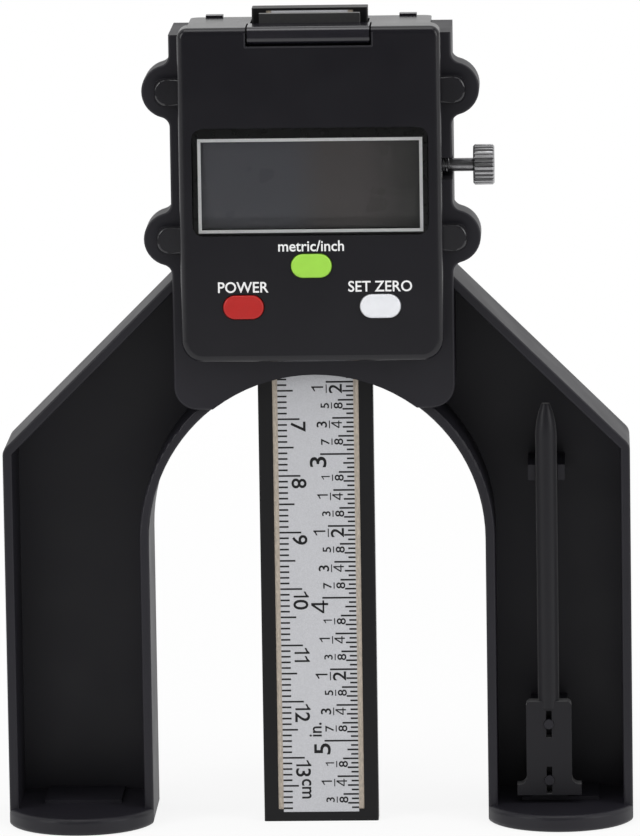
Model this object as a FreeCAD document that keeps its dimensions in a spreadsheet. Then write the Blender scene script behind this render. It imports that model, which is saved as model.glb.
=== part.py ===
import FreeCAD, Part
import math
import os
import Sketcher

# A digital height gauge. It stands on two magnetic feet, +Z up, with its display facing -Y and +X to
# the right of someone who reads it. The origin is on the table, in the middle under the stand.
# Lengths are in millimetres. "ahead" is a distance in front of the middle plane, towards -Y.
# "up" is a height above the table, and "half" is a half width from the middle.

SIZES = {
    # Stand: two hollow legs, open at the front, under an arch
    "leg_outer_half": 54.55,
    "arch_radius": 29.3,
    "arch_centre_up": 50.3,
    "leg_depth": 18.5,
    "shoulder_up": 66.5,
    "slant_top_up": 96.35,
    "shoulder_round": 2.2,
    "leg_wall": 1.65,
    "back_panel": 2.0,
    "rim_round": 0.4,
    "foot_height": 3.0,
    "bow_share": 0.776,
    "foot_round": 0.9,
    "sole_round": 0.8,
    # Centre block, which guides the blade and carries the cover
    "block_half": 24.35,
    "block_top_up": 139.0,
    "block_low_up": 73.6,
    "block_corner": 4.0,
    "block_proud": 1.5,
    "block_wall": 2.4,
    "rib": 1.5,
    "core_low_up": 83.0,
    "core_rib_up": 110.0,
    "core_half": 12.2,
    "tunnel_wall": 2.0,
    # Ears that the case screws go through
    "ear_across": 24.5,
    "ear_radius": 4.65,
    "ear_fillet": 1.8,
    "ear_depth": 8.0,
    "ear_high_up": 129.2,
    "ear_low_up": 103.5,
    # Blade with its scale
    "blade_width": 20.0,
    "blade_thick": 4.5,
    "blade_length": 143.1,
    "blade_round": 0.4,
    "blade_ahead": 7.25,
    "slide_gap": 0.1,
    "scale_board_width": 15.0,
    "scale_board_thick": 0.8,
    "scale_plate_width": 13.2,
    "scale_plate_thick": 0.3,
    "scale_plate_low_up": 1.65,
    "scale_board_low_up": 2.1,
    "scale_top_end": 0.45,
    "scale_gap": 0.05,
    # Front cover
    "cover_half": 22.6,
    "cover_depth": 6.0,
    "cover_low_up": 82.7,
    "cover_side": 1.6,
    "cover_face": 1.4,
    "cover_round": 1.2,
    "cover_low_corner": 3.7,
    "cover_top_corner": 1.7,
    "lip_thick": 1.7,
    "lip_back": 1.6,
    "lip_corner": 0.4,
    "hook_across": 16.8,
    "hook_width": 3.0,
    "hook_reach": 1.2,
    "hook_rise": 0.4,
    "tab_half": 26.8,
    "tab_height": 4.75,
    "tab_thick": 1.6,
    "tab_corner": 1.5,
    # Display
    "window_half": 20.4,
    "window_low_up": 104.7,
    "window_top_up": 123.4,
    "window_corner": 2.0,
    "window_seat": 0.8,
    "window_thick": 0.7,
    "window_ledge": 1.2,
    "window_gap": 0.1,
    "glass_half": 19.9,
    "glass_margin": 0.5,
    "glass_thick": 1.2,
    "connector_half": 17.0,
    "connector_width": 2.0,
    # Boards
    "board_half": 20.4,
    "board_low_up": 85.4,
    "board_top_up": 136.7,
    "board_thick": 1.0,
    "board_gap": 0.2,
    "sensor_web": 1.0,
    "sensor_half": 8.5,
    "sensor_low_up": 88.0,
    "sensor_top_up": 132.0,
    "sensor_gap": 0.1,
    "sensor_clear": 0.25,
    "board_screw_across": 18.4,
    "board_screw_inset": 2.4,
    "board_screw_radius": 0.6,
    "board_screw_depth": 1.6,
    "board_head_radius": 1.2,
    "board_head_thick": 0.7,
    # Buttons
    "button_width": 7.0,
    "button_height": 4.1,
    "button_proud": 0.6,
    "button_gap": 0.15,
    "button_flange": 0.7,
    "button_flange_thick": 0.8,
    "button_flange_gap": 0.05,
    "button_crown": 0.35,
    "stem_radius": 1.2,
    "units_button_up": 99.5,
    "side_button_up": 92.4,
    "side_button_across": 11.8,
    "dome_radius": 2.1,
    "dome_top_radius": 1.2,
    "dome_rise": 0.6,
    "press_room": 0.65,
    # Battery tray
    "tray_half": 10.5,
    "tray_gap": 0.3,
    "tray_floor": 0.6,
    "tray_low_up": 115.2,
    "grip_low_up": 137.7,
    "grip_top_up": 140.75,
    "grip_inset": 0.2,
    "grip_round": 1.2,
    "notch_gap": 0.3,
    "cell_radius": 10.0,
    "cell_thick": 3.2,
    "cell_up": 126.2,
    "cell_gap": 0.15,
    "cell_side_cut": 5.2,
    "cell_side_half": 8.8,
    "contact_half": 1.3,
    "contact_gap": 0.4,
    "contact_thick": 0.2,
    "contact_low_up": 112.2,
    "contact_top_up": 124.0,
    "slot_top_up": 128.0,
    "leaf_across": 5.5,
    # Felt that wipes the blade, and the spring behind it
    "felt_half": 8.7,
    "felt_thick": 1.6,
    "felt_top_up": 142.3,
    "felt_gap": 0.05,
    "spring_half": 3.0,
    "spring_low_up": 93.0,
    "spring_length": 34.0,
    "spring_thick": 0.2,
    "spring_seat": 0.6,
    "spring_gap": 0.05,
    # Lock screw
    "lock_up": 115.3,
    "lock_ahead": 5.0,
    "lock_radius": 1.15,
    "lock_gap": 0.1,
    "lock_pad_length": 2.0,
    "lock_pad_play": 0.12,
    "lock_notch_half": 1.9,
    "knob_start": 27.9,
    "knob_length": 3.65,
    "knob_radius": 3.5,
    "knob_ridges": 28,
    "knob_groove": 0.25,
    "knob_chamfer": 0.3,
    "nut_side": 5.0,
    "nut_thick": 2.0,
    "nut_start": 16.0,
    "nut_gap": 0.05,
    # Case screws
    "screw_across": 25.0,
    "screw_radius": 0.85,
    "screw_gap": 0.15,
    "screw_bite": 1.2,
    "screw_head_radius": 1.8,
    "screw_head_thick": 1.2,
    "screw_well_gap": 0.2,
    # Magnets
    "magnet_radius": 5.0,
    "magnet_thick": 2.5,
    "magnet_gap": 0.05,
    "boss_half": 6.75,
    "boss_ahead": 5.0,
    "boss_rise": 0.6,
    # Measuring pin in the right leg
    "pin_inboard": 1.95,
    "pin_ahead": 6.6,
    "pin_radius": 1.85,
    "pin_tip_radius": 0.7,
    "pin_tip_up": 73.6,
    "pin_taper_up": 67.8,
    "pin_rod_up": 19.9,
    "holder_half": 3.95,
    "holder_low_up": 4.5,
    "holder_top_up": 21.1,
    "holder_ahead": 5.1,
    "holder_thick": 3.1,
    "holder_corner": 0.8,
    "holder_foot_half": 5.6,
    "holder_foot_top_up": 6.4,
    "holder_flare": 1.2,
    "peg_radius": 0.85,
    "peg_high_up": 17.1,
    "peg_low_up": 7.15,
    "peg_proud": 0.2,
    "peg_gap": 0.05,
    "slit_half": 0.5,
    "slit_reach": 2.4,
    "pedestal_half": 3.2,
    "pedestal_top_up": 19.6,
    "cradle_half": 3.2,
    "cradle_low_up": 59.9,
    "cradle_top_up": 62.6,
    "cradle_ahead": 5.6,
    "cradle_gap": 0.1,
}

doc = FreeCAD.newDocument("height_gauge")
sheet = doc.addObject("Spreadsheet::Sheet", "sizes")
for row, (alias, number) in enumerate(SIZES.items(), start=1):
    sheet.set(f"A{row}", alias)
    sheet.set(f"B{row}", str(number))
    sheet.setAlias(f"B{row}", alias)
doc.recompute()


class Size:
    """A length: its value now, and the words that tie it to the sheet."""

    def __init__(self, value, words):
        self.value = value
        self.words = words

    def __add__(self, other):
        other = as_size(other)
        return Size(self.value + other.value, f"({self.words} + {other.words})")

    def __sub__(self, other):
        other = as_size(other)
        return Size(self.value - other.value, f"({self.words} - {other.words})")

    def __mul__(self, other):
        other = as_size(other)
        return Size(self.value * other.value, f"({self.words} * {other.words})")

    def __truediv__(self, other):
        other = as_size(other)
        return Size(self.value / other.value, f"({self.words} / {other.words})")

    def __neg__(self):
        return Size(-self.value, f"(0 - {self.words})")


def as_size(thing):
    return thing if isinstance(thing, Size) else Size(float(thing), str(float(thing)))


def root(size):
    return Size(math.sqrt(size.value), f"sqrt({size.words})")


class Sizes:
    """Every named size of the sheet, by its name."""

    def __getattr__(self, alias):
        return Size(float(SIZES[alias]), f"sizes.{alias}")


s = Sizes()

# Planes ahead of the middle, from the back of the stand to the buttons
leg_front = s.leg_depth / 2
leg_back = -leg_front
panel_front = leg_back + s.back_panel
block_front = leg_front + s.block_proud
blade_back = s.blade_ahead - s.blade_thick
tunnel_front = s.blade_ahead + s.slide_gap
tunnel_back = blade_back - s.slide_gap
tunnel_half = s.blade_width / 2 + s.slide_gap
board_seat = tunnel_front + s.sensor_web
board_front = board_seat + s.board_thick
tray_back = board_front + s.tray_gap
cell_back = tray_back + s.tray_floor
tray_front = cell_back + s.cell_thick
cover_front = block_front + s.cover_depth
cover_inside = cover_front - s.cover_face
glass_back = cover_inside - s.glass_thick
button_front = cover_front + s.button_proud
cover_top_up = s.block_top_up + s.lip_thick
recess_half = s.board_half + s.board_gap
recess_top_up = s.board_top_up + s.board_gap
arch_top_up = s.arch_centre_up + s.arch_radius
leg_middle = (s.leg_outer_half + s.arch_radius) / 2
pin_across = leg_middle - s.pin_inboard
boss_middle_ahead = (s.boss_ahead + panel_front) / 2
past = 1.0

nodes = []


def bind(thing, path, size):
    thing.setExpression(path, as_size(size).words)


def node(name, thing):
    thing.Label = name
    nodes.append((name, thing))
    return thing


def new_body(name):
    return node(name, doc.addObject("PartDesign::Body", name))


def sketch(body, name, role, offset, across=None):
    """A sketch on one of the body's own planes, moved along the plane's normal by offset."""
    drawing = body.newObject("Sketcher::SketchObject", name)
    plane = [item for item in body.Origin.OriginFeatures if item.Role == role][0]
    drawing.AttachmentSupport = [(plane, "")]
    drawing.MapMode = "FlatFace"
    bind(drawing, ".AttachmentOffset.Base.z", offset)
    if across is not None:
        bind(drawing, ".AttachmentOffset.Base.x", across)
    return drawing


def fix_point(drawing, edge, end, point):
    """Ties one end, or the centre, of a sketch edge to its two coordinates."""
    for kind, size in (("DistanceX", point[0]), ("DistanceY", point[1])):
        size = as_size(size)
        index = drawing.addConstraint(Sketcher.Constraint(kind, -1, 1, edge, end, size.value))
        bind(drawing, f"Constraints[{index}]", size)


def arc_between(start, end, radius, turn):
    """The shorter arc from start to end, and whether it is stored the other way round."""
    if turn == "right":
        start, end = end, start
    middle = (start + end) / 2
    chord = end - start
    rise = math.sqrt(max(radius**2 - (chord.Length / 2) ** 2, 0.0))
    side = FreeCAD.Vector(-chord.y, chord.x, 0).normalize()
    centre = middle + side * rise
    first = math.atan2(start.y - centre.y, start.x - centre.x)
    last = math.atan2(end.y - centre.y, end.x - centre.x)
    circle = Part.Circle(centre, FreeCAD.Vector(0, 0, 1), radius)
    return Part.ArcOfCircle(circle, first, last)


def outline(drawing, corners):
    """A closed outline. A corner is (across, up), or (across, up, radius, turn) where an arc leaves it."""
    points = [FreeCAD.Vector(as_size(c[0]).value, as_size(c[1]).value, 0) for c in corners]
    count = len(corners)
    edges = []
    for i, corner in enumerate(corners):
        start, end = points[i], points[(i + 1) % count]
        if len(corner) == 2:
            edge = drawing.addGeometry(Part.LineSegment(start, end), False)
            edges.append((edge, 1, 2))
            continue
        radius, turn = as_size(corner[2]), corner[3]
        edge = drawing.addGeometry(arc_between(start, end, radius.value, turn), False)
        edges.append((edge, 1, 2) if turn == "left" else (edge, 2, 1))
    for i, corner in enumerate(corners):
        before, here = edges[i - 1], edges[i]
        drawing.addConstraint(
            Sketcher.Constraint("Coincident", before[0], before[2], here[0], here[1])
        )
        fix_point(drawing, here[0], here[1], corner)
    for corner, edge in zip(corners, edges):
        if len(corner) > 2:
            radius = as_size(corner[2])
            index = drawing.addConstraint(Sketcher.Constraint("Radius", edge[0], radius.value))
            bind(drawing, f"Constraints[{index}]", radius)


def circle(drawing, centre, radius):
    middle = FreeCAD.Vector(as_size(centre[0]).value, as_size(centre[1]).value, 0)
    edge = drawing.addGeometry(Part.Circle(middle, FreeCAD.Vector(0, 0, 1), radius.value), False)
    fix_point(drawing, edge, 3, centre)
    index = drawing.addConstraint(Sketcher.Constraint("Radius", edge, radius.value))
    bind(drawing, f"Constraints[{index}]", radius)


def rectangle(left, right, low, high):
    return [(left, low), (right, low), (right, high), (left, high)]


def rounded(left, right, low, high, low_corner, high_corner):
    return [
        (left + low_corner, low),
        (right - low_corner, low, low_corner, "left"),
        (right, low + low_corner),
        (right, high - high_corner, high_corner, "left"),
        (right - high_corner, high),
        (left + high_corner, high, high_corner, "left"),
        (left, high - high_corner),
        (left, low + low_corner, low_corner, "left"),
    ]


def stadium(across, up, width, height):
    """A slot with round ends."""
    bend = height / 2
    half = width / 2
    return [
        (across - half + bend, up - bend),
        (across + half - bend, up - bend, bend, "left"),
        (across + half, up, bend, "left"),
        (across + half - bend, up + bend),
        (across - half + bend, up + bend, bend, "left"),
        (across - half, up, bend, "left"),
    ]


def mirrored(corners):
    """The same outline on the other side of the middle."""
    other = {"left": "right", "right": "left"}
    return [(-c[0], c[1]) if len(c) == 2 else (-c[0], c[1], c[2], other[c[3]]) for c in corners]


def add(body, name, drawing, length):
    feature = body.newObject("PartDesign::Pad", name)
    feature.Profile = (drawing, [""])
    bind(feature, "Length", length)
    body.Tip = feature
    return feature


def cut(body, name, drawing, length, forward=False):
    """Cuts against the sketch's normal, or along it where forward is set."""
    feature = body.newObject("PartDesign::Pocket", name)
    feature.Profile = (drawing, [""])
    feature.Reversed = forward
    bind(feature, "Length", length)
    body.Tip = feature
    return feature


def add_outlines(body, name, role, offset, length, outlines):
    drawing = sketch(body, name + "_sketch", role, offset)
    for corners in outlines:
        outline(drawing, corners)
    return add(body, name, drawing, length)


def cut_outlines(body, name, role, offset, length, outlines, forward=False):
    drawing = sketch(body, name + "_sketch", role, offset)
    for corners in outlines:
        outline(drawing, corners)
    return cut(body, name, drawing, length, forward)


def cut_holes(body, name, role, offset, length, centres, radius, forward=False):
    drawing = sketch(body, name + "_sketch", role, offset)
    for centre in centres:
        circle(drawing, centre, radius)
    return cut(body, name, drawing, length, forward)


def near(number, wanted):
    return abs(number - wanted) < 0.01


def widest(bounds):
    return max(abs(bounds.XMin), abs(bounds.XMax))


def soften(body, name, kind, size, wanted):
    """A fillet or chamfer on the edges of the body that the test picks."""
    doc.recompute()
    last = body.Tip
    picked = [f"Edge{i}" for i, edge in enumerate(last.Shape.Edges, start=1) if wanted(edge.BoundBox)]
    feature = body.newObject(f"PartDesign::{kind}", name)
    feature.Base = (last, picked)
    bind(feature, "Radius" if kind == "Fillet" else "Size", size)
    body.Tip = feature
    return feature


def place(thing, x, y, z):
    bind(thing, ".Placement.Base.x", x)
    bind(thing, ".Placement.Base.y", y)
    bind(thing, ".Placement.Base.z", z)
    return thing


def box(name, left, right, back, front, low, high):
    """A block between two planes each way, with back and front given as distances ahead."""
    thing = doc.addObject("Part::Box", name)
    bind(thing, "Length", right - left)
    bind(thing, "Width", front - back)
    bind(thing, "Height", high - low)
    return place(thing, left, -front, low)


def turned(thing, axis):
    """Lays a cylinder or cone that stands on Z along X, or along -Y for ahead."""
    if axis == "x":
        thing.Placement.Rotation = FreeCAD.Rotation(FreeCAD.Vector(0, 1, 0), 90)
    if axis == "ahead":
        thing.Placement.Rotation = FreeCAD.Rotation(FreeCAD.Vector(1, 0, 0), 90)
    return thing


def cylinder(name, axis, radius, length, x, ahead, up):
    thing = turned(doc.addObject("Part::Cylinder", name), axis)
    bind(thing, "Radius", radius)
    bind(thing, "Height", length)
    return place(thing, x, -ahead, up)


def cone(name, axis, first_radius, last_radius, length, x, ahead, up):
    thing = turned(doc.addObject("Part::Cone", name), axis)
    bind(thing, "Radius1", first_radius)
    bind(thing, "Radius2", last_radius)
    bind(thing, "Height", length)
    return place(thing, x, -ahead, up)


def fused(name, things):
    whole = doc.addObject("Part::MultiFuse", name)
    whole.Shapes = things
    return whole


def group(name, things):
    whole = doc.addObject("Part::Compound", name)
    whole.Links = things
    return whole


def without(name, base, tool):
    rest = doc.addObject("Part::Cut", name)
    rest.Base = base
    rest.Tool = tool
    return rest


def legs_outline():
    return [
        (s.leg_outer_half, as_size(0)),
        (s.leg_outer_half, s.shoulder_up),
        (s.block_half, s.slant_top_up),
        (-s.block_half, s.slant_top_up),
        (-s.leg_outer_half, s.shoulder_up),
        (-s.leg_outer_half, as_size(0)),
        (-s.arch_radius, as_size(0)),
        (-s.arch_radius, s.arch_centre_up, s.arch_radius, "right"),
        (as_size(0), arch_top_up, s.arch_radius, "right"),
        (s.arch_radius, s.arch_centre_up),
        (s.arch_radius, as_size(0)),
    ]


def hollow_outline():
    """The inside of the right leg, a wall's thickness in from its outline."""
    run = s.leg_outer_half - s.block_half
    rise = s.slant_top_up - s.shoulder_up
    slope = root(run * run + rise * rise)
    outer = s.leg_outer_half - s.leg_wall
    inner = s.arch_radius + s.leg_wall
    edge = s.block_half - s.block_corner
    corner_up = s.shoulder_up - s.leg_wall * (slope - rise) / run
    slant_up = s.shoulder_up + ((s.leg_outer_half - edge) * rise - s.leg_wall * slope) / run
    arch_up = s.arch_centre_up + root(inner * inner - edge * edge)
    return [
        (inner, s.foot_height),
        (outer, s.foot_height),
        (outer, corner_up),
        (edge, slant_up),
        (edge, arch_up, inner, "right"),
        (inner, s.arch_centre_up),
    ]


def block_outline():
    drop = s.block_low_up - s.arch_centre_up
    meet = root(s.arch_radius * s.arch_radius - drop * drop)
    bend = s.block_corner
    return [
        (s.block_half, s.block_top_up),
        (-s.block_half, s.block_top_up),
        (-s.block_half, s.block_low_up + bend, bend, "left"),
        (bend - s.block_half, s.block_low_up),
        (-meet, s.block_low_up, s.arch_radius, "right"),
        (as_size(0), arch_top_up, s.arch_radius, "right"),
        (meet, s.block_low_up),
        (s.block_half - bend, s.block_low_up, bend, "left"),
        (s.block_half, s.block_low_up + bend),
    ]


def ear_outline(up):
    """A round ear on the right side of the block, blended into it above and below."""
    offset = s.block_half + s.ear_fillet - s.ear_across
    reach = s.ear_radius + s.ear_fillet
    span = root(reach * reach - offset * offset)
    touch = s.ear_across + offset * s.ear_radius / reach
    touch_up = span * s.ear_radius / reach
    return [
        (s.block_half - past, up - span),
        (s.block_half, up - span, s.ear_fillet, "right"),
        (touch, up - touch_up, s.ear_radius, "left"),
        (s.ear_across + s.ear_radius, up, s.ear_radius, "left"),
        (touch, up + touch_up, s.ear_fillet, "right"),
        (s.block_half, up + span),
        (s.block_half - past, up + span),
    ]


def foot_outline():
    """The right foot from above: straight sides, with a round bow in front and behind."""
    half = (s.leg_outer_half - s.arch_radius) / 2
    bow = half * s.bow_share
    bend = (half * half + bow * bow) / (bow * 2)
    nose = leg_front + bow
    return [
        (s.arch_radius, -leg_front, bend, "left"),
        (leg_middle, -nose, bend, "left"),
        (s.leg_outer_half, -leg_front),
        (s.leg_outer_half, leg_front, bend, "left"),
        (leg_middle, nose, bend, "left"),
        (s.arch_radius, leg_front),
    ]


def make_stand_frame():
    body = new_body("stand_frame")
    hollow = hollow_outline()
    foot = foot_outline()
    add_outlines(body, "legs", "XZ_Plane", leg_back, s.leg_depth, [legs_outline()])
    soften(
        body,
        "shoulders",
        "Fillet",
        s.shoulder_round,
        lambda b: near(b.ZLength, 0) and near(b.ZMin, s.shoulder_up.value),
    )
    cut_outlines(
        body, "leg_hollows", "XZ_Plane", leg_front, s.leg_depth - s.back_panel, [hollow, mirrored(hollow)]
    )
    add_outlines(
        body, "centre_block", "XZ_Plane", leg_back, s.leg_depth + s.block_proud, [block_outline()]
    )
    ears = [ear_outline(s.ear_high_up), ear_outline(s.ear_low_up)]
    add_outlines(
        body,
        "ears",
        "XZ_Plane",
        block_front - s.ear_depth,
        s.ear_depth,
        ears + [mirrored(ear) for ear in ears],
    )
    soften(
        body,
        "block_rim",
        "Fillet",
        s.rim_round,
        lambda b: near(b.YLength, 0)
        and near(b.YMin, -block_front.value)
        and widest(b) > s.block_half.value - past
        and b.ZMin < s.block_top_up.value - past,
    )
    add_outlines(body, "feet", "XY_Plane", 0, s.foot_height, [foot, mirrored(foot)])
    soften(
        body,
        "foot_edges",
        "Fillet",
        s.foot_round,
        lambda b: near(b.ZLength, 0)
        and near(b.ZMin, s.foot_height.value)
        and (b.YMin < -leg_front.value - past or b.YMax > leg_front.value + past),
    )
    soften(
        body,
        "leg_rims",
        "Fillet",
        s.rim_round,
        lambda b: near(b.YLength, 0)
        and near(b.YMin, -leg_front.value)
        and widest(b) > s.block_half.value + past
        and b.ZMax > s.foot_height.value + past,
    )
    soften(
        body,
        "sole_edges",
        "Fillet",
        s.sole_round,
        lambda b: near(b.ZLength, 0) and near(b.ZMin, 0),
    )

    bosses = rectangle(
        leg_middle - s.boss_half, leg_middle + s.boss_half, -s.boss_ahead, -panel_front + past
    )
    add_outlines(
        body,
        "magnet_bosses",
        "XY_Plane",
        s.foot_height - past,
        s.boss_rise + past,
        [bosses, mirrored(bosses)],
    )
    make_pin_seat(body)
    magnets = [(leg_middle, -boss_middle_ahead), (-leg_middle, -boss_middle_ahead)]
    cut_holes(
        body,
        "magnet_wells",
        "XY_Plane",
        0,
        s.magnet_thick + s.magnet_gap,
        magnets,
        s.magnet_radius + s.magnet_gap,
        forward=True,
    )
    make_blade_guide(body)
    make_core(body)
    make_lock_seat(body)
    make_screw_wells(body)


def make_pin_seat(body):
    """The pedestal, two pegs and the cradle that hold the measuring pin in the right leg."""
    x = pin_across
    pedestal = rectangle(
        x - s.pedestal_half, x + s.pedestal_half, s.foot_height + s.boss_rise / 2, s.pedestal_top_up
    )
    add_outlines(
        body, "pedestal", "XZ_Plane", panel_front - past, s.holder_ahead - panel_front + past, [pedestal]
    )
    pegs = sketch(body, "pegs_sketch", "XZ_Plane", s.holder_ahead - past)
    circle(pegs, (x, s.peg_high_up), s.peg_radius)
    circle(pegs, (x, s.peg_low_up), s.peg_radius)
    add(body, "pegs", pegs, s.holder_thick + s.peg_proud + past)
    cradle = rectangle(x - s.cradle_half, x + s.cradle_half, s.cradle_low_up, s.cradle_top_up)
    add_outlines(
        body, "cradle", "XZ_Plane", panel_front - past, s.cradle_ahead - panel_front + past, [cradle]
    )
    side = s.pin_radius + s.cradle_gap
    gap = rectangle(x - side, x + side, s.cradle_low_up - past, s.cradle_top_up + past)
    gap_back = s.pin_ahead - side
    cut_outlines(body, "cradle_gap", "XZ_Plane", s.cradle_ahead, s.cradle_ahead - gap_back, [gap])


def make_blade_guide(body):
    """The blade's tunnel, the recess of the boards and the slots in the top of the block."""
    tunnel = rectangle(-tunnel_half, tunnel_half, -tunnel_front, -tunnel_back)
    cut_outlines(
        body, "tunnel", "XY_Plane", 0, s.block_top_up + past, [tunnel], forward=True
    )
    recess = rectangle(-recess_half, recess_half, s.board_low_up - s.board_gap, recess_top_up)
    cut_outlines(
        body, "board_recess", "XZ_Plane", block_front, block_front - board_seat, [recess]
    )
    reach = s.sensor_half + s.sensor_gap
    window = rectangle(
        -reach, reach, s.sensor_low_up - s.sensor_gap, s.sensor_top_up + s.sensor_gap
    )
    cut_outlines(body, "sensor_window", "XZ_Plane", board_seat, s.sensor_web + past, [window])
    seat = rectangle(
        -s.spring_half - s.spring_gap,
        s.spring_half + s.spring_gap,
        s.spring_low_up - past,
        s.spring_low_up + s.spring_length + past,
    )
    cut_outlines(body, "spring_seat", "XZ_Plane", tunnel_back, s.spring_seat, [seat])
    felt = rectangle(-s.felt_half, s.felt_half, -s.blade_ahead - s.felt_gap - s.felt_thick, -s.blade_ahead)
    half = s.tray_half + s.notch_gap
    tray = rectangle(-half, half, -block_front - past, -board_front - s.tray_gap / 2)
    drop = s.block_top_up - recess_top_up + past
    cut_outlines(body, "felt_slot", "XY_Plane", s.block_top_up, drop, [felt])
    cut_outlines(body, "tray_gate", "XY_Plane", s.block_top_up, drop, [tray])
    pilots = [
        (side * s.board_screw_across, up)
        for side in (as_size(1), as_size(-1))
        for up in (s.board_low_up + s.board_screw_inset, s.board_top_up - s.board_screw_inset)
    ]
    cut_holes(
        body, "board_pilots", "XZ_Plane", board_seat, s.board_screw_depth, pilots, s.board_screw_radius
    )


def make_core(body):
    """Chambers from behind, which leave even walls and a grid of ribs."""
    top_up = s.block_top_up - s.block_wall
    rib_half = s.rib / 2
    centre = [
        rectangle(-s.core_half, s.core_half, s.core_low_up, s.core_rib_up - rib_half),
        rectangle(-s.core_half, s.core_half, s.core_rib_up + rib_half, top_up),
    ]
    cut_outlines(
        body,
        "centre_chambers",
        "XZ_Plane",
        leg_back,
        tunnel_back - s.tunnel_wall - leg_back,
        centre,
        forward=True,
    )
    inner = s.core_half + s.rib
    outer = s.block_half - s.block_wall
    land_low = s.lock_up - s.nut_side / 2 - s.rib * 2
    land_high = s.lock_up + s.nut_side / 2 + s.rib * 2
    deep = [
        rectangle(inner, outer, s.core_low_up, land_low),
        rectangle(inner, outer, land_high, top_up),
    ]
    cut_outlines(
        body,
        "side_chambers",
        "XZ_Plane",
        leg_back,
        board_seat - s.tunnel_wall - leg_back,
        deep + [mirrored(shape) for shape in deep],
        forward=True,
    )
    land = rectangle(inner, outer, land_low + s.rib, land_high - s.rib)
    cut_outlines(
        body,
        "land_chambers",
        "XZ_Plane",
        leg_back,
        s.lock_ahead - s.nut_side - leg_back,
        [land, mirrored(land)],
        forward=True,
    )


def make_lock_seat(body):
    """The bore, nut slot and open notch of the lock screw, on the right side."""
    start = s.block_half + s.ear_radius
    cut_holes(
        body,
        "lock_bore",
        "YZ_Plane",
        start,
        start - tunnel_half + past,
        [(-s.lock_ahead, s.lock_up)],
        s.lock_radius + s.lock_gap,
    )
    side = s.nut_side / 2 + s.nut_gap
    slot = rectangle(
        s.nut_start - s.nut_gap,
        s.nut_start + s.nut_thick + s.nut_gap,
        s.lock_up - side,
        s.lock_up + side,
    )
    cut_outlines(
        body, "nut_slot", "XZ_Plane", board_seat, board_seat - s.lock_ahead + side, [slot]
    )
    half = s.lock_notch_half
    notch = [
        (-block_front - past, s.lock_up - half),
        (-s.lock_ahead, s.lock_up - half, half, "left"),
        (half - s.lock_ahead, s.lock_up, half, "left"),
        (-s.lock_ahead, s.lock_up + half),
        (-block_front - past, s.lock_up + half),
    ]
    cut_outlines(
        body, "lock_notch", "YZ_Plane", start, start - recess_half, [notch]
    )


def make_screw_wells(body):
    """Screw holes through the ears, with wells for the heads along the sides of the block."""
    centres = [
        (side * s.screw_across, up)
        for side in (as_size(1), as_size(-1))
        for up in (s.ear_high_up, s.ear_low_up)
    ]
    cut_holes(
        body,
        "screw_holes",
        "XZ_Plane",
        block_front,
        s.ear_depth + past,
        centres,
        s.screw_radius + s.screw_gap,
    )
    cut_holes(
        body,
        "head_wells",
        "XZ_Plane",
        block_front - s.ear_depth,
        block_front - s.ear_depth - leg_back,
        centres,
        s.screw_head_radius + s.screw_well_gap,
    )


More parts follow.
